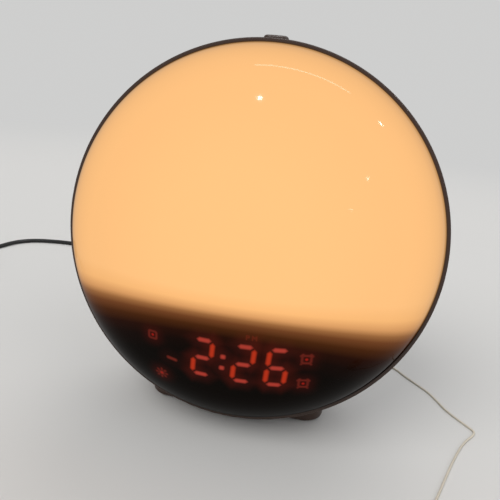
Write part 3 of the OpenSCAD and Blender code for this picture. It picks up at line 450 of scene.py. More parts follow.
ribbonFilm = mouldedPlastic("ribbon film", linear(150, 150, 152), 0.35, 700, 0.00002, 0.1)
wireCover = mouldedPlastic("wire cover", linear(150, 28, 24), 0.4, 1500, 0.00002, 0.1)
screwSteel = workedMetal("screw steel", colours["steel"], 0.32)
plugSteel = workedMetal("plug steel", (0.62, 0.62, 0.63, 1), 0.26, (12, 1, 1))
canSteel = workedMetal("can steel", (0.6, 0.6, 0.6, 1), 0.3)
contactBrass = workedMetal("contact brass", colours["brass"], 0.28)
magnetIron = workedMetal("magnet iron", (0.12, 0.12, 0.13, 1), 0.5, (1, 1, 1))
boardGreen = circuitBoard("board green", linear(18, 74, 44), linear(60, 120, 70))
boardWhite = circuitBoard("board white", linear(232, 232, 228), linear(205, 205, 196))
cordBlack = cordJacket("cord black", colours["cord"], 0.42, 900.0)
aerialWhite = cordJacket("aerial white", colours["aerial"], 0.5, 900.0)
print("finishes made")


# Cords: the route's points are given in millimetres of the row frame, as on the solids.
powerCord = {
    "diameter": 3.5, "length": 1.5, "coilAt": (-252, 104), "coilMiddle": 18.75, "rings": 5,
    "layers": 2, "turns": 9, "lastDegrees": 35, "change": 70,
    "route": [(-34, 68.4, 42.3), (-34, 78, 40.2), (-34.5, 87, 34.5), (-36, 95, 25.5), (-38, 103, 15.5),
              (-41, 112, 7), (-46, 121, 2.9), (-54, 131, 1.85), (-67, 144, 1.75), (-86, 160, 1.75),
              (-110, 176, 1.75), (-138, 189, 1.75), (-168, 196, 1.75), (-198, 197, 1.75),
              (-218, 194, 1.75), (-231, 189.3, 1.75), (-240, 181.3, 1.75), (-244.3, 172.5, 1.75),
              (-247, 162, 1.75), (-252.5, 151, 1.75), (-262, 140, 1.75), (-271.5, 129.5, 1.75),
              (-277.5, 117, 1.75), (-277.7, 104, 1.75)],
    "tail": [(-273.1, 89.2, 5.25), (-268.7, 82.6, 4.7), (-264.2, 76.3, 3.2), (-259.5, 69.8, 2.1),
             (-255, 63, 1.8), (-251, 56, 2.1), (-246.8, 49.5, 3), (-243.5, 44.3, 3.8), (-242, 42, 4)],
}
aerialCord = {
    "diameter": 1, "length": 0.75, "coilAt": (93.8, -59.4), "coilMiddle": 6, "rings": 4, "layers": 4,
    "turns": 14, "lastDegrees": 0, "change": 48,
    "route": [(34, 33.7, 43.1), (34, 38, 42), (34.5, 43, 38), (36, 48, 31), (38, 53, 22),
              (41, 57.5, 12.5), (45.5, 61.5, 4.5), (52, 64, 0.8), (60, 66, 0.5), (70, 66.5, 0.5),
              (79, 65, 0.5), (86, 61.3, 0.5), (91, 54.5, 0.5), (97, 47, 0.5), (102.5, 40, 0.5),
              (106, 32.5, 0.5), (109.3, 25, 0.5), (113.3, 19, 0.5), (117.5, 13.6, 0.5),
              (119.7, 10, 0.5), (118.3, 6.5, 0.5), (113.8, 0.8, 0.5), (109, -7, 0.5),
              (103, -19, 0.5), (97.3, -31.5, 0.5), (91.8, -43.5, 0.5), (87, -51.5, 0.5),
              (85.9, -55.5, 0.5), (86.3, -59.4, 0.5)],
    "tail": [],
}


def smoothRoute(points, steps=4):
    points = [Vector(p) for p in points]
    spans = len(points) - 1

    def heading(i):
        return (points[min(i + 1, spans)] - points[max(i - 1, 0)]).normalized()
    out = []
    for i in range(spans):
        span = (points[i + 1] - points[i]).length
        for k in range(steps):
            t = k / steps
            leaving, nearing = 2 * t ** 3 - 3 * t ** 2 + 1, 3 * t ** 2 - 2 * t ** 3
            first, last = t ** 3 - 2 * t ** 2 + t, t ** 3 - t ** 2
            out.append(points[i] * leaving + heading(i) * span * first
                       + points[i + 1] * nearing + heading(i + 1) * span * last)
    return out + [points[spans]] if points else []


def ease(value):
    value = min(max(value, 0.0), 1.0)
    return value * value * (3 - 2 * value)


# A layer runs inwards, the next one outwards on top of it. A cord changes its ring in one sector
# and its layer in the sector before, and both move back with each layer, so turns never meet.
def coilRoute(cord):
    d, sector = cord["diameter"], cord["change"]
    radii = [cord["coilMiddle"] + d * ((cord["rings"] - 1) / 2 - i) for i in range(cord["rings"])]
    seats = [(r, layer) for layer in range(cord["layers"])
             for r in (radii if layer % 2 == 0 else radii[::-1])]
    points, step = [], 6
    for angle in range(step, cord["turns"] * 360 + cord["lastDegrees"] + 1, step):
        turn, part = divmod(angle, 360)
        radius, layer = seats[turn]
        nextRadius, nextLayer = seats[min(turn + 1, len(seats) - 1)]
        height = layer
        if nextLayer == layer:
            radius += (nextRadius - radius) * ease((part - 360 + (2 * layer + 1) * sector) / sector)
        else:
            height += ease((part - 360 + (2 * layer + 2) * sector) / sector)
        a = math.radians(180 + angle)
        points.append(Vector((cord["coilAt"][0] + radius * math.cos(a),
                              cord["coilAt"][1] + radius * math.sin(a), d / 2 + d * height)))
    return points


def makeCord(name, cord, material):
    points = smoothRoute(cord["route"]) + coilRoute(cord) + smoothRoute(cord["tail"])
    curve = bpy.data.curves.new(name, "CURVE")
    curve.dimensions = "3D"
    curve.bevel_depth = cord["diameter"] / 2 * mm
    curve.bevel_resolution = 3
    curve.use_fill_caps = True
    spline = curve.splines.new("POLY")
    spline.points.add(len(points) - 1)
    for slot, point in zip(spline.points, points):
        slot.co = (*(point * mm), 1)
    spline.use_smooth = True
    curve.materials.append(material)
    obj = newObject(name, curve)
    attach(obj, "casing")
    return obj


powerLead = makeCord("powerLead", powerCord, cordBlack)
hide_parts("power_lead", "power_lead_coil")
aerialWire = makeCord("aerialWire", aerialCord, aerialWhite)
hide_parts("aerial_wire", "aerial_wire_coil")
print("cords laid")


# Pale round floor that runs out into a backdrop of the same tone, and soft lamps at a plain level.
studio = {"radius": 6.0, "fadeFrom": 0.55, "fadeTo": 1.6, "tone": (0.66, 0.655, 0.645, 1),
          "backTone": (0.62, 0.62, 0.615, 1), "worldStrength": 0.5}
softLamps = {
    "key": {"towards": (0.55, 0.75, -1.0), "strength": 1.3, "spread": 40, "tone": (1, 0.985, 0.96)},
    "fill": {"towards": (-0.9, 0.6, -0.7), "strength": 0.5, "spread": 60, "tone": (0.96, 0.98, 1)},
    "back": {"towards": (-0.2, -1.0, -1.1), "strength": 0.6, "spread": 50, "tone": (1, 1, 1)},
}


def seenDirectly(tree):
    path = addNode(tree, "ShaderNodeLightPath").outputs
    direct = calc(tree, "MAXIMUM", path["Is Camera Ray"], path["Is Glossy Ray"])
    return calc(tree, "MAXIMUM", direct, path["Is Transmission Ray"])


def makeFloor():
    bm = bmesh.new()
    bmesh.ops.create_circle(bm, cap_ends=True, radius=studio["radius"], segments=96)
    mesh = bpy.data.meshes.new("floor")
    bm.to_mesh(mesh)
    bm.free()
    floor = newObject("floor", mesh)
    material, tree, shader = newMaterial("floor paper", Base_Color=studio["tone"], Roughness=0.85,
                                         Specular_IOR_Level=0.1)
    place = addNode(tree, "ShaderNodeTexCoord").outputs["Object"]
    away = addNode(tree, "ShaderNodeVectorMath", {0: place}, operation="LENGTH").outputs["Value"]
    fade = spread(tree, away, studio["fadeFrom"], studio["fadeTo"])
    far = calc(tree, "MULTIPLY", fade, seenDirectly(tree))
    plain = addNode(tree, "ShaderNodeEmission",
                    {"Color": studio["backTone"], "Strength": 1.0}).outputs[0]
    both = addNode(tree, "ShaderNodeMixShader", {0: far, 1: shader.outputs[0], 2: plain}).outputs[0]
    tree.links.new(both, tree.nodes["Material Output"].inputs["Surface"])
    mesh.materials.append(material)


def makeWorld():
    world = bpy.data.worlds.new("studio")
    world.use_nodes = True
    tree = world.node_tree
    light = tree.nodes["Background"]
    light.inputs[1].default_value = studio["worldStrength"]
    seen = addNode(tree, "ShaderNodeBackground", {0: studio["backTone"], 1: 1.0}).outputs[0]
    both = addNode(tree, "ShaderNodeMixShader", {0: seenDirectly(tree), 1: light.outputs[0], 2: seen})
    light.inputs[0].default_value = (1, 1, 1, 1)
    tree.links.new(both.outputs[0], tree.nodes["World Output"].inputs["Surface"])
    scene.world = world


makeFloor()
makeWorld()
for name, lamp in softLamps.items():
    data = bpy.data.lights.new(name, "SUN")
    data.energy = lamp["strength"]
    data.color = lamp["tone"]
    data.angle = math.radians(lamp["spread"])
    sun = newObject(name, data)
    sun.rotation_euler = Vector(lamp["towards"]).to_track_quat("-Z", "Y").to_euler()
    sun.visible_glossy = False


def domeHeight(r):
    edge = crownRadius * math.sin(crownAngle)
    if r <= edge:
        return crownAt + math.sqrt(crownRadius ** 2 - r * r)
    return -domeShape["sink"] + math.sqrt(max(domeShape["round"] ** 2 - (r - shoulderAt) ** 2, 0))


def domeNormal(x, y):
    r = math.hypot(x, y)
    if r <= crownRadius * math.sin(crownAngle):
        return Vector((x, y, domeHeight(r) - crownAt)).normalized()
    share = shoulderAt / r
    return Vector((x * (1 - share), y * (1 - share), domeHeight(r) + domeShape["sink"])).normalized()


# Where a lamp hangs so that the camera sees its glint at the place (x, y) on the dome.
def lampForGlint(x, y, away):
    spot = Vector((x, y, domeHeight(math.hypot(x, y))))
    toEye = (eyePlace() - spot).normalized()
    normal = domeNormal(x, y)
    outward = 2 * normal.dot(toEye) * normal - toEye
    return onFace(*(spot + outward * away))


# Four small lamps and a long tube overhead, which the glossy dome shows as dots and a thin arc.
glints = {"first": {"at": (1.3, 57.6), "away": 900, "radius": 13, "power": 4.5},
          "second": {"at": (47.8, 53.5), "away": 900, "radius": 15, "power": 6.5},
          "third": {"at": (45.5, 32.4), "away": 900, "radius": 8, "power": 0.6},
          "fourth": {"at": (40.9, 20.5), "away": 900, "radius": 6, "power": 0.2}}
tube = {"ends": ((-3.2, 70.7), (34.5, 63.9)), "away": 1300, "width": 0.035, "power": 4.5}


def makeGlints():
    for name, glint in glints.items():
        lamp = newObject("glint_" + name, bpy.data.lights.new(name, "POINT"))
        lamp.location = lampForGlint(*glint["at"], glint["away"])
        lamp.data.energy = glint["power"]
        lamp.data.shadow_soft_size = glint["radius"] * mm
        lamp.visible_diffuse = False


def makeTube():
    start, end = (lampForGlint(*at, tube["away"]) for at in tube["ends"])
    middle, along = (start + end) / 2, (end - start).normalized()
    facing = (middle - onFace(0, 0, 0)).normalized()
    across = facing.cross(along).normalized()
    turn = Matrix((along, across, along.cross(across))).transposed()
    lamp = newObject("overheadTube", bpy.data.lights.new("overheadTube", "AREA"))
    lamp.matrix_world = Matrix.Translation(middle) @ turn.to_4x4()
    lamp.data.shape = "RECTANGLE"
    lamp.data.size = (end - start).length
    lamp.data.size_y = tube["width"]
    lamp.data.energy = tube["power"]
    lamp.visible_diffuse = False


makeGlints()
makeTube()
print("studio lit")


# Dome: fine rings and columns over the display, so that its marks are crisp.
domeMesh = {"fineFrom": 24, "fineTo": 73, "ringStep": 0.45, "fineHalf": 46, "fineColumn": 0.45,
            "coarseColumn": 1.6, "coarseInside": 8}


def domeOutline(off, ringSteps):
    corner = crownRadius * math.sin(crownAngle)
    crown = [(r, crownAt + math.sqrt((crownRadius - off) ** 2 - r * r)) for r in ringSteps
             if r < corner * (1 - off / crownRadius)]
    radius = domeShape["round"] - off
    endAngle = math.degrees(math.asin(domeShape["sink"] / radius))
    startAngle = 90 - math.degrees(crownAngle)
    pitch = domeMesh["ringStep"] * (1 if off == 0 else domeMesh["coarseInside"])
    steps = max(int(radius * math.radians(startAngle - endAngle) / pitch), 6)
    return crown + arc(shoulderAt, -domeShape["sink"], radius, startAngle, endAngle, steps)


def buildDome():
    coarse = [0] + list(range(3, domeMesh["fineFrom"], 3))
    fine = list(np.arange(domeMesh["fineFrom"], domeMesh["fineTo"], domeMesh["ringStep"]))
    outside = domeOutline(0, coarse + fine)
    inside = domeOutline(domeShape["wall"], range(0, 66, 6))
    edge, inner = outside[-1][0], inside[-1][0]
    outline = outside + [(edge, -casing["seat"] + 0.3), (edge - 0.3, -casing["seat"]),
                         (inner, -casing["seat"])] + inside[::-1]
    half = domeMesh["fineHalf"]
    columns = list(np.arange(-90 - half, -90 + half, domeMesh["fineColumn"]))
    columns += list(np.arange(-90 + half, 270 - half, domeMesh["coarseColumn"]))
    turns = [(math.cos(math.radians(a)), math.sin(math.radians(a))) for a in columns]
    bm = bmesh.new()
    rows = []
    for r, z in outline:
        ring = turns if r > 1e-6 else [(0, 0)]
        rows.append([bm.verts.new((r * c, r * s, z)) for c, s in ring])
    stitch(bm, rows)
    return meshFrom("frontDome", bm)


# The display as the dome shows it: distances in millimetres to its strokes, icons and mark.
display = {
    "height": -47.1, "pitch": 13.6, "colonGap": 3.4, "width": 7.5, "rise": 8.85, "stroke": 1.9,
    "gap": 0.5, "lean": 3.5, "digits": " 226", "colon": (2.4, -3.35), "dot": 1.0, "left": 1.0,
}
litStrokes = {"2": "abged", "6": "afgedc", " ": ""}


def barGap(u, v, cu, cv, length, thick, upright):
    if upright:
        u, v, cu, cv = v, u, cv, cu
    u, v = abs(u - cu), abs(v - cv)
    return np.maximum(v - thick / 2, (u + v - length / 2) / math.sqrt(2))


def lineGap(u, v, start, end, thick):
    du, dv = end[0] - start[0], end[1] - start[1]
    t = np.clip(((u - start[0]) * du + (v - start[1]) * dv) / (du * du + dv * dv), 0, 1)
    return np.hypot(u - start[0] - t * du, v - start[1] - t * dv) - thick / 2


def frameGap(u, v, centre, half, corner, thick):
    qu, qv = abs(u - centre[0]) - half + corner, abs(v - centre[1]) - half + corner
    outer = np.hypot(np.maximum(qu, 0), np.maximum(qv, 0)) + np.minimum(np.maximum(qu, qv), 0) - corner
    return abs(outer) - thick / 2


def digitsGap(u, v):
    d = display
    level = d["width"] - d["stroke"] / 2 - 2 * d["gap"] + 0.35
    upright = d["rise"] - d["stroke"] / 2 - d["gap"] - 0.35
    places = {"a": (0, 1), "g": (0, 0), "d": (0, -1), "b": (1, 0.5), "c": (1, -0.5), "f": (-1, 0.5),
              "e": (-1, -0.5)}
    u = u - v * math.tan(math.radians(d["lean"]))
    gaps = {False: np.full(u.shape, 99.0), True: np.full(u.shape, 99.0)}
    for i, digit in enumerate(d["digits"]):
        middle = (i - 1.5) * d["pitch"] + (1 if i > 1 else -1) * d["colonGap"] / 2
        for key in litStrokes[digit]:
            side, step = places[key]
            standing = side != 0
            gap = barGap(u, v, middle + side * d["width"] / 2, step * d["rise"],
                         upright if standing else level, d["stroke"], standing)
            gaps[standing] = np.minimum(gaps[standing], gap)
    for height in d["colon"]:
        square = np.hypot(np.maximum(abs(u) - 0.4, 0), np.maximum(abs(v - height) - 0.4, 0))
        gaps[False] = np.minimum(gaps[False], square - d["dot"] + 0.4)
    return gaps[True], gaps[False]


# Small generic signs: a set, a sun, a dash and two alarm clocks, each with a bright core.
signs = {
    "set": (-30.7, 5.0), "sun": (-27.1, -14.6), "dash": ((-23.6, -4.3), (-20.3, -4.8)),
    "alarms": ((33.5, 5.2), (33.4, -7.4)), "afternoon": (11.3, 13.3), "line": 0.75, "half": 1.8,
    "dashLine": 1.4, "sunDisc": 1.2, "sunRays": (1.9, 2.5), "bell": ((1.6, 2.3), (2.3, 1.6)),
    "bellLine": 0.8, "leg": ((1.6, -2), (2.0, -2.4)), "legLine": 0.6, "sunCore": 0.5,
    "core": 0.55, "afternoonLine": 0.4,
}


def signsGap(u, v):
    line, half = signs["line"], signs["half"]
    gap = frameGap(u, v, signs["set"], half - 0.1, 0.6, line)
    sx, sy = signs["sun"]
    gap = np.minimum(gap, np.hypot(u - sx, v - sy) - signs["sunDisc"])
    for k in range(8):
        c, s = math.cos(k * math.pi / 4), math.sin(k * math.pi / 4)
        ray = [(sx + away * c, sy + away * s) for away in signs["sunRays"]]
        gap = np.minimum(gap, lineGap(u, v, *ray, line))
    gap = np.minimum(gap, lineGap(u, v, *signs["dash"], signs["dashLine"]))
    for cx, cy in signs["alarms"]:
        gap = np.minimum(gap, frameGap(u, v, (cx, cy), half, 0.8, line))
        for side in (-1, 1):
            for part in ("bell", "leg"):
                ends = [(cx + side * across, cy + up) for across, up in signs[part]]
                gap = np.minimum(gap, lineGap(u, v, *ends, signs[part + "Line"]))
    return gap


def coresGap(u, v):
    gap = np.hypot(u - signs["sun"][0], v - signs["sun"][1]) - signs["sunCore"]
    for cx, cy in (signs["set"], *signs["alarms"]):
        gap = np.minimum(gap, np.hypot(u - cx, v - cy) - signs["core"])
    return gap


def afternoonGap(u, v):
    cx, cy = signs["afternoon"]
    strokes = [((-2.2, -0.9), (-2.2, 0.9)), ((-2.2, 0.9), (-1.2, 0.8)), ((-1.2, 0.8), (-1.2, 0.1)),
               ((-1.2, 0.1), (-2.2, 0.0)), ((0.2, -0.9), (0.2, 0.9)), ((0.2, 0.9), (1.0, -0.1)),
               ((1.0, -0.1), (1.8, 0.9)), ((1.8, 0.9), (1.8, -0.9))]
    gap = np.full(u.shape, 99.0)
    for start, end in strokes:
        stroke = (cx + start[0], cy + start[1]), (cx + end[0], cy + end[1])
        gap = np.minimum(gap, lineGap(u, v, *stroke, signs["afternoonLine"]))
    return gap


def addAttribute(mesh, name, values, kind="FLOAT"):
    attribute = mesh.attributes.new(name, kind, "POINT")
    field = "vector" if kind == "FLOAT_VECTOR" else "value"
    attribute.data.foreach_set(field, np.ascontiguousarray(values, dtype=np.float32).ravel())


def markDome(mesh):
    places = np.empty(len(mesh.vertices) * 3, dtype=np.float32)
    mesh.vertices.foreach_get("co", places)
    places = places.reshape(-1, 3)
    pitch = -math.asin(display["height"] / crownRadius)
    y, z = places[:, 1], places[:, 2] - crownAt
    u, v = places[:, 0] + display["left"], y * math.cos(pitch) + z * math.sin(pitch)
    addAttribute(mesh, "facePlace", places, "FLOAT_VECTOR")
    standing, level = digitsGap(u, v)
    addAttribute(mesh, "standingGap", standing)
    addAttribute(mesh, "levelGap", level)
    addAttribute(mesh, "signGap", signsGap(u, v))
    addAttribute(mesh, "coreGap", coresGap(u, v))
    addAttribute(mesh, "afternoonGap", afternoonGap(u, v))


# Glow by the height above the light shelf: full, then falling off below it. The colours are what the
# light adds. The base colour under it is painted as well: painted shade below the shelf, which makes
# the milky white dome dark there, and a painted amber glow tint above it.
glow = {
    "shelf": -25.6, "sag": 0.00035, "widen": 0.00011,
    "stops": [(-20, (5, 2, 0)), (-14, (16, 3, 0)), (-10, (34, 8, 0)), (-6.4, (70, 34, 8)),
              (-3.4, (111, 64, 32)), (-1.4, (154, 102, 58)), (0.6, (216, 155, 97)),
              (3.6, (248, 186, 119)), (8, (255, 195, 129))],
    "rimFall": [(0.0, 1.0), (30.0, 1.0), (45.0, 0.985), (60.0, 0.97), (74.0, 0.98), (79.0, 0.96),
                (84.1, 0.85)],
    "marks": {"standingGap": ((176, 46, 20), 0.7, 0.05), "levelGap": ((168, 56, 44), 0.7, 0.05),
              "signGap": ((106, 34, 24), 0.7, 0.05), "coreGap": ((160, 26, 14), 0.5, 0.04),
              "afternoonGap": ((104, 34, 16), 0.5, 0.1)},
    # painted shade for the dome below the shelf, and a painted amber glow tint above it
    "paintedShadeBelow": linear(9, 8, 8), "paintedGlowTint": linear(70, 48, 30), "skin": (0.9, 0.9, 0.9, 1),
    "strength": 1.13, "hazeReach": 6.0,
}


def ramp(tree, value, stops, colours):
    low, high = stops[0], stops[-1]
    node = addNode(tree, "ShaderNodeValToRGB", {0: spread(tree, value, low, high, smooth=False)})
    elements = node.color_ramp.elements
    while len(elements) < len(stops):
        elements.new(0.5)
    for element, at, colour in zip(elements, stops, colours):
        element.position = (at - low) / (high - low)
        element.color = colour
    return node.outputs[0]


def litDome():
    material, tree, shader = newMaterial("lit dome", Roughness=0.06, Specular_IOR_Level=0.03,
                                         Coat_Weight=1.0, Coat_IOR=1.0, Coat_Roughness=0.06,
                                         Coat_Tint=glow["skin"], Emission_Strength=glow["strength"])
    place = addNode(tree, "ShaderNodeAttribute", attribute_name="facePlace").outputs["Vector"]
    x, y = addNode(tree, "ShaderNodeSeparateXYZ", {0: place}).outputs[:2]
    across = calc(tree, "MULTIPLY", x, x)
    above = calc(tree, "MULTIPLY_ADD", across, glow["sag"], calc(tree, "SUBTRACT", y, glow["shelf"]))
    above = calc(tree, "DIVIDE", above, calc(tree, "MULTIPLY_ADD", across, glow["widen"], 1.0))
    lit = ramp(tree, above, [at for at, c in glow["stops"]], [linear(*c) for at, c in glow["stops"]])
    away = calc(tree, "SQRT", calc(tree, "MULTIPLY_ADD", y, y, across))
    fall = ramp(tree, away, [at for at, f in glow["rimFall"]],
                [(f, f, f, 1) for at, f in glow["rimFall"]])
    lit = mixColours(tree, 1.0, lit, fall, "MULTIPLY")
    for name, (colour, soft, halo) in glow["marks"].items():
        gap = addNode(tree, "ShaderNodeAttribute", attribute_name=name).outputs["Fac"]
        core = spread(tree, gap, soft, -soft)
        haze = calc(tree, "MULTIPLY", spread(tree, gap, glow["hazeReach"], 0.0), halo)
        lit = mixColours(tree, calc(tree, "MAXIMUM", core, haze), lit, linear(*colour))
    tree.links.new(lit, shader.inputs["Emission Color"])
    # Base colour: painted shade below the shelf, painted glow tint above it.
    body = mixColours(tree, spread(tree, above, -4.0, 4.0), glow["paintedShadeBelow"], glow["paintedGlowTint"])
    tree.links.new(body, shader.inputs["Base Color"])
    bump = addNode(tree, "ShaderNodeBump",
                   {"Height": noise(tree, 30, 1), "Strength": 0.1, "Distance": 0.00002})
    tree.links.new(bump.outputs[0], shader.inputs["Normal"])
    return material


frontDome = buildDome()
markDome(frontDome.data)
finishPiece(frontDome, litDome(), "casing", ["front_dome"], sharp=50)
print("dome made")


# Casing: a spun shell with a foot, then openings with a small chamfer.
foot = {"width": 88, "depth": 36, "front": 8, "corner": 10, "top": 23, "proud": 1.0,
        "padInset": 4, "padThick": 1.8, "padClear": 0.2, "bars": 17, "barPitch": 4.2,
        "levels": [(1.4, 0), (0.75, 0.12), (0.3, 0.42), (0.05, 0.95), (0, 1.4)],
        "padLevels": [(0.5, 0.0), (0.12, 0.12), (0, 0.5)]}
footMiddle = foot["depth"] / 2 - foot["front"]
rim = {"edge": 0.55, "steps": 5, "lead": 0.35}


def shellOutline():
    r, z, e = casing["rimRadius"], -casing["rimDepth"], rim["edge"]
    front = arc(rebateRadius + rim["lead"], -rim["lead"], rim["lead"], 180, 90, 3)
    front += arc(r - e, -e, e, 90, 0, rim["steps"])
    side = arc(r - e, z + e, e, 0, -60, 3) + [(bandRadius + 0.12, z - 0.45), (bandRadius, z - 0.7)]
    back = arc(flatRadius, -casing["bandDepth"], casing["backRound"], 0, -90, 28)
    return front + side + back + [(40, -backDepth), (18, -backDepth), (0, -backDepth)]


def innerOutline():
    reach = casing["backRound"] - casing["wall"]
    back = arc(flatRadius, -casing["bandDepth"], reach, 0, -90, 14)
    return [(rebateRadius, 3), (rebateRadius, -casing["seat"]), (innerRadius, -casing["seat"])] + back


def underFoot(x, y, z):
    return rowToFace @ Vector((x, y + footMiddle, z))


def footLoops():
    levels = [(inset, foot["proud"] + height) for inset, height in foot["levels"]]
    return plateLoops(foot["width"], foot["depth"], foot["corner"], levels + [(0, foot["top"])],
                      underFoot)


sideButtons = {"pitch": 16, "length": 12, "width": 7, "depthAt": 12, "proud": 0.8, "gap": 0.3,
               "names": {-1: ["sound", "light", "radio", "sleep"],
                         1: ["down", "up", "alarm_1", "alarm_2"]}}
snooze = {"half": 18, "width": 10, "depthAt": 12, "proud": 2.4, "corner": 3, "gap": 0.3,
          "levels": [(0, -9), (0, -1.9), (-0.1, -1.2), (-0.36, -0.65), (-0.8, -0.26),
                     (-1.4, -0.06), (-2.1, 0)]}
thumbRib = {"half": 5.6, "width": 7, "depthAt": 12, "proud": 4.2, "corner": 2,
            "levels": [(0, -3), (0, -1.1), (-0.1, -0.62), (-0.36, -0.26), (-0.74, -0.06),
                       (-1.2, 0)]}
buttonHole = {"depth": -6, "under": -0.4, "chamfer": 0.45, "over": 0.05}


def sideHeights():
    return [(i - 1.5) * sideButtons["pitch"] for i in range(4)]


# A loop on the button band: its outline lies along y and z, at one radius less a drop.
def sideLoop(side, middle, grow, radius):
    b = sideButtons
    width, length = b["width"] + 2 * grow, b["length"] + 2 * grow
    outline = roundedOutline(width, length, width / 2 - 0.001, 8)
    return [(side * math.sqrt(radius ** 2 - (middle + q) ** 2), middle + q, -b["depthAt"] + p)
            for p, q in outline]


# The long sides get extra points, so that they follow the casing's curve.
def snoozeLoop(bar, grow, radius, alongSteps=24):
    corner = max(bar["corner"] + grow, 0.15)
    outline = roundedOutline(2 * (bar["half"] + grow), bar["width"] + 2 * grow, corner, 6)
    loop = []
    for start, end in zip(outline, outline[1:] + outline[:1]):
        steps = alongSteps if abs(end[0] - start[0]) > bar["half"] else 1
        dx, dy = end[0] - start[0], end[1] - start[1]
        loop += [(start[0] + dx * k / steps, start[1] + dy * k / steps) for k in range(steps)]
    return [(p, math.sqrt(radius ** 2 - p * p), -bar["depthAt"] + q) for p, q in loop]


def buildShell():
    shell = lathe("rearShell", [(0, 0), (rebateRadius - 3, 0)] + shellOutline(), 192)
    combine(shell, stack("footBlock", footLoops()), "UNION")
    combine(shell, lathe("hollow", [(0, 3)] + innerOutline() + [(0, -backInside)], 160), "DIFFERENCE")
    return shell


# An opening's growth and rise at each level, from inside the casing to above it.
def holeLevels(gap, above):
    wide = gap + buttonHole["chamfer"]
    return [(gap, buttonHole["depth"]), (gap, buttonHole["under"]), (wide, buttonHole["over"]),
            (wide, above)]


def cutButtons(shell):
    for side in (-1, 1):
        for middle in sideHeights():
            loops = [sideLoop(side, middle, grow, bandRadius + rise)
                     for grow, rise in holeLevels(sideButtons["gap"], 3)]
            combine(shell, stack("opening", loops), "DIFFERENCE")
    loops = [snoozeLoop(snooze, grow, bandRadius + rise)
             for grow, rise in holeLevels(snooze["gap"], 6)]
    combine(shell, stack("opening", loops), "DIFFERENCE")


# Back of the casing: grille, screw wells, battery pocket, socket and aerial holes.
back = {
    "speakerY": 16, "holeRadius": 1.2, "holePitch": 5, "holeRings": 4, "chamfer": 0.35,
    "screws": [(0, 54), (-50.7, 18.5), (50.7, 18.5), (-49, -23), (49, -23)], "wellRadius": 3.1,
    "wellDepth": 3, "wellBore": 1.5, "hatchY": -34, "doorWidth": 32, "doorHeight": 25,
    "doorThick": 1.6, "doorGap": 0.2, "doorScrewX": 12.4, "doorBore": 1.4, "pocketX": -2.5,
    "pocketWidth": 24, "pocketHeight": 22, "pocketDepth": 7.9, "pocketWall": 1.6,
    "jack": (-34, -36), "jackRadius": 4.05, "aerial": (34, -40), "aerialRadius": 2.25,
    "gripBars": 5, "gripPitch": 1.8, "gripFrom": -12.5,
}


def well(name, centre, outline):
    return lathe(name, outline, 40, centre)


def box(name, centre, width, height, low, high, corner=0.6, chamfer=0.0):
    levels = [(0, low), (0, high)]
    if chamfer:
        levels = [(chamfer, low), (chamfer, -backDepth), (0, -backDepth + chamfer), (0, high)]
    return stack(name, plateLoops(width, height, corner, [(-grow, z) for grow, z in levels],
                                  lambda x, y, z: (centre[0] + x, centre[1] + y, z), 4))


def cutBack(shell):
    b = back
    h, edge = b["holeRadius"], b["chamfer"]
    holes = [(0, -backDepth - 1), (h + edge, -backDepth - 1), (h + edge, -backDepth),
             (h, -backDepth + 0.4), (h, -backInside + 1), (0, -backInside + 1)]
    shape = lathe("hole", holes, 20)
    count = 1 + 3 * b["holeRings"] * (b["holeRings"] + 1)
    grille = growMesh("grille", rings, {"Shape": shape, "Count": count, "Pitch": float(b["holePitch"])})
    grille.data.transform(Matrix.Translation((0, b["speakerY"], 0)))
    drop(shape)
    combine(shell, grille, "DIFFERENCE")
    pocketTop = -backDepth + b["pocketDepth"]
    combine(shell, box("pocketBox", (b["pocketX"], b["hatchY"]), b["pocketWidth"] + 2 * b["pocketWall"],
                       b["pocketHeight"] + 2 * b["pocketWall"], -backInside - 0.5,
                       pocketTop + b["pocketWall"]), "UNION")
    combine(shell, box("doorSeat", (0, b["hatchY"]), b["doorWidth"] + 2 * b["doorGap"],
                       b["doorHeight"] + 2 * b["doorGap"], -backDepth - 1, -backDepth + b["doorThick"],
                       1.2, 0.3), "DIFFERENCE")
    combine(shell, box("pocket", (b["pocketX"], b["hatchY"]), b["pocketWidth"], b["pocketHeight"],
                       -backDepth + 1, pocketTop), "DIFFERENCE")
    w, wellEnd = b["wellRadius"], -backDepth + b["wellDepth"]
    outline = [(0, -backDepth - 1), (w + edge, -backDepth - 1), (w + edge, -backDepth),
               (w, -backDepth + edge), (w, wellEnd), (b["wellBore"], wellEnd),
               (b["wellBore"], -backInside + 4), (0, -backInside + 4)]
    for centre in b["screws"]:
        combine(shell, well("well", centre, outline), "DIFFERENCE")
    for centre, r in ((b["jack"], b["jackRadius"]), (b["aerial"], b["aerialRadius"]),
                      ((b["doorScrewX"], b["hatchY"]), b["doorBore"])):
        outline = [(0, -backDepth - 1), (r + 0.3, -backDepth - 1), (r + 0.3, -backDepth),
                   (r, -backDepth + 0.3), (r, -backInside + 1), (0, -backInside + 1)]
        combine(shell, well("bore", centre, outline), "DIFFERENCE")


def cutPadSeat(shell):
    inset = foot["padInset"] - foot["padClear"]
    loops = plateLoops(foot["width"], foot["depth"], foot["corner"],
                       [(inset, -1), (inset, foot["padThick"])], underFoot)
    combine(shell, stack("padSeat", loops), "DIFFERENCE")


rearShell = buildShell()
cutButtons(rearShell)
cutBack(rearShell)
cutPadSeat(rearShell)
finishPiece(rearShell, shellPlastic, "casing", ["rear_shell"], sharp=28)
print("casing made")


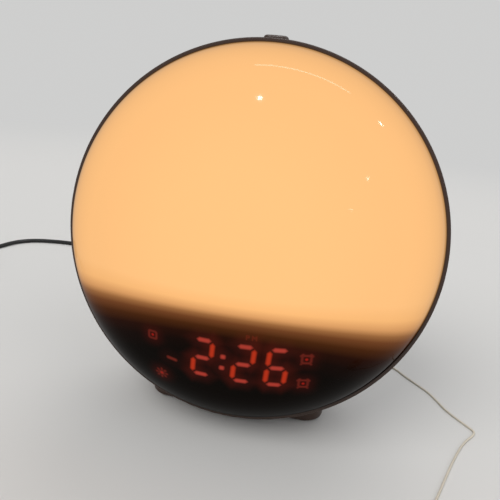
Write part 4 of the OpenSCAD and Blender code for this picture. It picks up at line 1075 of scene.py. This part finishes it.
# Buttons: dished caps with a rounded edge and a raised sign, a width and a rise at each level.
raised = {"levels": [(0.36, -0.5), (0.36, 0.02), (0.22, 0.12)], "sink": 0.2, "endPoints": 6}
capLevels = [(0, -5.2), (0, -0.75), (-0.08, -0.38), (-0.3, -0.12), (-0.65, 0), (-1.1, -0.03),
             (-1.9, -0.14), (-2.7, -0.2)]
buttonSigns = {
    "sound": [[(-1.4, -0.5), (-0.6, -0.5), (0.3, -1.2), (0.3, 1.2), (-0.6, 0.5), (-1.4, 0.5)],
              [(1.1, -0.7), (1.4, 0), (1.1, 0.7)]],
    "light": [[(0.7, 0), (0.5, 0.5), (0, 0.7), (-0.5, 0.5), (-0.7, 0), (-0.5, -0.5), (0, -0.7),
               (0.5, -0.5), (0.7, 0)],
              [(1.2, 0), (1.7, 0)], [(-1.2, 0), (-1.7, 0)], [(0, 1.2), (0, 1.7)],
              [(0, -1.2), (0, -1.7)]],
    "radio": [[(0, -1.4), (0, 1.5)], [(-0.9, 0.2), (-0.5, 0.9)], [(0.9, 0.2), (0.5, 0.9)],
              [(-0.6, -1.4), (0.6, -1.4)]],
    "sleep": [[(-0.9, 1.2), (0.9, 1.2), (-0.9, -1.2), (0.9, -1.2)]],
    "down": [[(-1.3, 0), (1.3, 0)]],
    "up": [[(-1.3, 0), (1.3, 0)], [(0, -1.3), (0, 1.3)]],
    "alarm_1": [[(-0.5, 0.8), (0, 1.3), (0, -1.3)]],
    "alarm_2": [[(-0.8, 0.8), (-0.4, 1.3), (0.4, 1.3), (0.8, 0.7), (-0.8, -1.3), (0.9, -1.3)]],
}


def raisedLine(side, middle, points):
    parts, count = [], raised["endPoints"]
    for (u0, v0), (u1, v1) in zip(points, points[1:]):
        angle = math.atan2(v1 - v0, u1 - u0)
        loops = []
        for width, rise in raised["levels"]:
            outline = []
            for k in range(2 * count):
                end = (u1, v1) if k < count else (u0, v0)
                turned = 0 if k < count else math.pi
                a = angle - math.pi / 2 + math.pi * (k % count) / (count - 1) + turned
                u, v = end[0] + width / 2 * math.cos(a), end[1] + width / 2 * math.sin(a)
                radius = bandRadius + sideButtons["proud"] - raised["sink"] + rise
                outline.append((side * math.sqrt(radius ** 2 - (middle + v) ** 2), middle + v,
                                -sideButtons["depthAt"] - side * u))
            loops.append(outline)
        parts.append(stack("line", loops))
    return parts


def makeSideButtons():
    top = bandRadius + sideButtons["proud"]
    for side, names in sideButtons["names"].items():
        for middle, name in zip(sideHeights(), names):
            cap = stack("cap", [sideLoop(side, middle, grow, top + rise) for grow, rise in capLevels])
            lines = [part for points in buttonSigns[name] for part in raisedLine(side, middle, points)]
            piece = joinObjects("cap_" + name, [cap] + lines)
            finishPiece(piece, buttonPlastic, "button_" + name, ["button_" + name], sharp=35)


def makeSnoozeBar():
    top, ribTop = bandRadius + snooze["proud"], bandRadius + thumbRib["proud"]
    bar = stack("snoozeBar", [snoozeLoop(snooze, grow, top + rise)
                              for grow, rise in snooze["levels"]])
    rib = stack("thumbRib", [snoozeLoop(thumbRib, grow, ribTop + rise, 8)
                             for grow, rise in thumbRib["levels"]])
    combine(bar, rib, "UNION")
    finishPiece(bar, buttonPlastic, "snooze_bar", ["snooze_bar"], sharp=40)


makeSideButtons()
makeSnoozeBar()
print("buttons made")


# Screws with a cross recess, and the battery door with its grip bars and screw.
screw = {"headRadius": 2.8, "headThick": 2.0, "shank": 1.45, "length": 22, "slotWidth": 0.8,
         "slotDepth": 1.1, "crown": [(0.9, 0), (0.35, 0.18), (0, 0.7)]}
doorScrew = {"headRadius": 2.1, "headThick": 0.8, "shank": 1.1, "length": 6}
doorLevels = [(0.5, 0), (0.15, 0.12), (0, 0.5)]


def screwShape(name, sizes):
    head, thick = sizes["headRadius"], sizes["headThick"]
    crown = [(head - inset, z) for inset, z in screw["crown"]]
    stem = [(sizes["shank"], thick), (sizes["shank"], sizes["length"]), (0, sizes["length"])]
    shape = lathe(name, [(0, 0)] + crown + [(head, thick)] + stem, 32)
    for turn in (0, 90):
        slot = box("slot", (0, 0), head * 1.15, screw["slotWidth"] * head / screw["headRadius"],
                   -0.5, screw["slotDepth"], 0.1)
        slot.data.transform(Matrix.Rotation(math.radians(turn), 4, "Z"))
        combine(shape, slot, "DIFFERENCE")
    return shape


def cornersAt(points):
    mesh = bpy.data.meshes.new("corners")
    mesh.from_pydata(points, [], [])
    return newObject("corners", mesh)


def makeShellScrews():
    shape = screwShape("screwShape", screw)
    depth = -backDepth + back["wellDepth"] - screw["headThick"]
    spots = cornersAt([(x, y, depth) for x, y in back["screws"]])
    piece = growMesh("shellScrews", corners, {"Shape": shape, "Corners": spots, "Material": screwSteel})
    drop(shape, spots)
    finishPiece(piece, screwSteel, "casing", ["shell_screws"])


def makeDoor():
    b = back
    low, high = -backDepth, -backDepth + b["doorThick"]
    levels = [(inset, low + height) for inset, height in doorLevels] + [(0, high)]
    door = stack("batteryDoor", plateLoops(b["doorWidth"], b["doorHeight"], 1.0, levels,
                                           lambda x, y, z: (x, b["hatchY"] + y, z), 4, 0.5))
    recess = [(0, low - 1), (2.5, low - 1), (2.5, low + 0.05), (2.3, low + 0.25), (2.3, low + 0.9),
              (1.35, low + 0.9), (1.35, high + 1), (0, high + 1)]
    combine(door, well("recess", (b["doorScrewX"], b["hatchY"]), recess), "DIFFERENCE")
    bar = box("bar", (0, 0), 1.0, 9, low + 0.05, low + 0.8, 0.45)
    bar.data.transform(Matrix.Translation((0, b["hatchY"], 0)))
    grooves = growMesh("grooves", row, {"Shape": bar, "Count": b["gripBars"],
                                        "Start": (b["gripFrom"], 0.0, -0.3),
                                        "Step": (b["gripPitch"], 0.0, 0.0)})
    drop(bar)
    combine(door, grooves, "DIFFERENCE")
    finishPiece(door, shellPlastic, "battery_door", ["battery_door"])
    shape = screwShape("doorScrew", doorScrew)
    shape.data.transform(Matrix.Translation((b["doorScrewX"], b["hatchY"], low)))
    finishPiece(shape, screwSteel, "battery_door", ["door_screw"])


makeShellScrews()
makeDoor()
print("screws and door made")


# Rubber pad with bars across, so that the clock doesn't slide.
def makePad():
    f = foot
    width, depth = f["width"] - 2 * f["padInset"], f["depth"] - 2 * f["padInset"]
    pad = stack("footPad", plateLoops(width, depth, f["corner"] - f["padInset"],
                                      f["padLevels"] + [(0, f["padThick"])],
                                      lambda x, y, z: (x, y + footMiddle, z)))
    bar = stack("bar", [[(x, y + footMiddle, z) for x, y in
                         roundedOutline(w, depth - 5, w / 2 - 0.01, 4)]
                        for w, z in ((2.2, -0.5), (1.6, 0.45))])
    firstBar = -f["barPitch"] * (f["bars"] - 1) / 2
    grooves = growMesh("grooves", row, {"Shape": bar, "Count": f["bars"],
                                        "Start": (firstBar, 0.0, 0.0),
                                        "Step": (f["barPitch"], 0.0, 0.0)})
    drop(bar)
    combine(pad, grooves, "DIFFERENCE")
    finishPiece(pad, footRubber, "casing", ["foot_pad"], Matrix.Identity(4))


makePad()


# Round power plug with grip rings and a ribbed relief, and the flat plug at the far end.
roundPlug = {"clear": 0.4, "radius": 5, "length": 17, "grooves": 5, "groovePitch": 2.4,
             "reliefLength": 20, "reliefRadius": 3.4, "tipRadius": 2.2, "barrelRadius": 2.75,
             "barrel": 9.5}
flatPlug = {"at": (-242, 42, 4), "turn": -59, "relief": 12, "grip": (18, 13, 7.6),
            "shell": (12, 12, 4.5), "tipRadius": 2.2, "baseRadius": 3.0, "grooves": 5,
            "groovePitch": 2.0, "front": [(1.4, 0), (0.7, 0.15), (0.2, 0.6), (0, 1.3)],
            "end": [(0, 1), (0.25, 0.3), (0.8, 0)], "window": 2.2, "windowAt": (6.2, 2.9)}


def reliefOutline(start, length, fromRadius, toRadius, slots=5):
    points = []
    for k in range(slots):
        at, wide = start - length * k / slots, length / slots
        r0 = fromRadius + (toRadius - fromRadius) * k / slots
        r1 = fromRadius + (toRadius - fromRadius) * (k + 0.62) / slots
        points += [(r0, at), (r1, at - wide * 0.62), (r1 - 0.45, at - wide * 0.68),
                   (r1 - 0.5, at - wide * 0.95)]
    return points + [(toRadius, start - length * 0.985), (toRadius - 0.15, start - length)]


def makeRoundPlug():
    p = roundPlug
    r, front = p["radius"], -backDepth - p["clear"]
    outline = [(0, front), (r - 0.5, front), (r, front - 0.5), (r, front - 3)]
    for k in range(p["grooves"]):
        at = front - 3.2 - k * p["groovePitch"]
        outline += [(r, at), (r - 0.4, at - 0.2), (r - 0.4, at - 1.0), (r, at - 1.2)]
    end = front - p["length"]
    outline += [(r, end + 0.9), (r - 0.3, end + 0.25), (r - 1.0, end)]
    outline += reliefOutline(end, p["reliefLength"], p["reliefRadius"], p["tipRadius"])
    plug = lathe("roundPlug", outline + [(0, end - p["reliefLength"])], 48, back["jack"])
    finishPiece(plug, plugPlastic, "casing", ["dc_plug"])
    b, tip = p["barrelRadius"], front + p["barrel"]
    wall = [(1.1, front), (b, front), (b, tip - 0.3), (b - 0.3, tip), (1.1, tip)]
    barrel = lathe("roundPlugBarrel", wall, 32, back["jack"])
    finishPiece(barrel, plugSteel, "casing", ["dc_plug"])
    return plug, barrel


def makeFlatPlug():
    p = flatPlug
    length, width, height = p["grip"]
    place = Matrix.Translation(p["at"]) @ Matrix.Rotation(math.radians(p["turn"]), 4, "Z")
    lying = Matrix.Rotation(math.pi / 2, 4, "Y")
    sleeveLine = reliefOutline(0, p["relief"], p["tipRadius"], p["baseRadius"] + 0.3)
    relief = lathe("relief", [(0, 0)] + [(r, -z) for r, z in sleeveLine]
                   + [(0, p["relief"] + 0.5)], 32)
    relief.data.transform(lying)
    levels = p["front"] + [(inset, length - short) for inset, short in p["end"]]
    grip = stack("grip", plateLoops(width, height, 2.6, levels,
                                    lambda y, z, x: (p["relief"] + x, y, z), 6))
    bar = stack("bar", [[(p["relief"] + 5 + x, y, s)
                         for x, y in roundedOutline(0.8 + g, width - 4, 0.35, 3)]
                        for g, s in ((0.0, height / 2 - 0.35), (0.5, height / 2 + 1))])
    grooves = growMesh("grooves", row, {"Shape": bar, "Count": p["grooves"],
                                        "Step": (p["groovePitch"], 0.0, 0.0)})
    drop(bar)
    combine(grip, grooves, "DIFFERENCE")
    plug = joinObjects("flatPlug", [relief, grip])
    finishPiece(plug, plugPlastic, "casing", ["usb_plug"], place)
    sl, sw, sh = p["shell"]
    start = p["relief"] + length - 0.5

    def inShell(y, z, x):
        return start + x, y, z
    sleeve = stack("flatPlugShell", plateLoops(sw, sh, 0.6, [(0, 0), (0, sl + 0.5)], inShell, 4))
    hollow = stack("hollow", plateLoops(sw, sh, 0.4, [(0.4, 1.5), (0.4, sl), (0.15, sl + 1)],
                                        inShell, 4, 0))
    combine(sleeve, hollow, "DIFFERENCE")
    along, across = p["windowAt"]
    for side in (-1, 1):
        loops = plateLoops(p["window"], p["window"], 0.2, [(0, 1), (0, 4)],
                           lambda x, y, z: (start + along + x, side * across + y, z), 2)
        combine(sleeve, stack("hole", loops), "DIFFERENCE")
    finishPiece(sleeve, plugSteel, "casing", ["usb_plug_shell"], place)
    tongue = stack("flatPlugTongue", plateLoops(sw - 1.2, 1.7, 0.2, [(0, 1.2), (0, sl - 0.6)],
                                                lambda y, z, x: (start + x, y, -0.75 + z), 2))
    finishPiece(tongue, plugPlastic, "casing", ["usb_plug_shell"], place)
    return plug, sleeve, tongue


roundPlugPieces = makeRoundPlug()
flatPlugPieces = makeFlatPlug()
print("plugs made")


# The solids inside keep their shape and get their finish.
insideFinishes = {
    "inner_frame": framePlastic, "light_board": boardWhite, "white_leds": lampLens,
    "colour_leds": lampLens, "display_housing": blockPlastic, "display_segments": redLens,
    "display_icons": redLens, "display_board": boardGreen, "main_board": boardGreen,
    "main_chips": chipEpoxy, "crystal": canSteel, "capacitors": sleeveFilm, "dc_jack": socketPlastic,
    "aerial_grommet": footRubber, "speaker_basket": canSteel, "speaker_magnet": magnetIron,
    "speaker_cone": conePaper, "speaker_surround": footRubber, "speaker_gasket": gasketFoam,
    "speaker_screws": screwSteel, "snooze_board": boardGreen, "snooze_switches": chipEpoxy,
    "left_switch_board": boardGreen, "right_switch_board": boardGreen, "left_switches": chipEpoxy,
    "right_switches": chipEpoxy, "coin_cell": canSteel, "cell_clip": contactBrass,
    "cell_spring": contactBrass, "dome_screws": screwSteel, "board_screws": screwSteel,
    "display_ribbon": ribbonFilm, "light_board_lead": wireCover, "speaker_leads": wireCover,
    "jack_leads": wireCover,
}
for name, material in insideFinishes.items():
    mesh = cadNodes[name].data
    mesh.materials.clear()
    mesh.materials.append(material)
print("inside dressed")
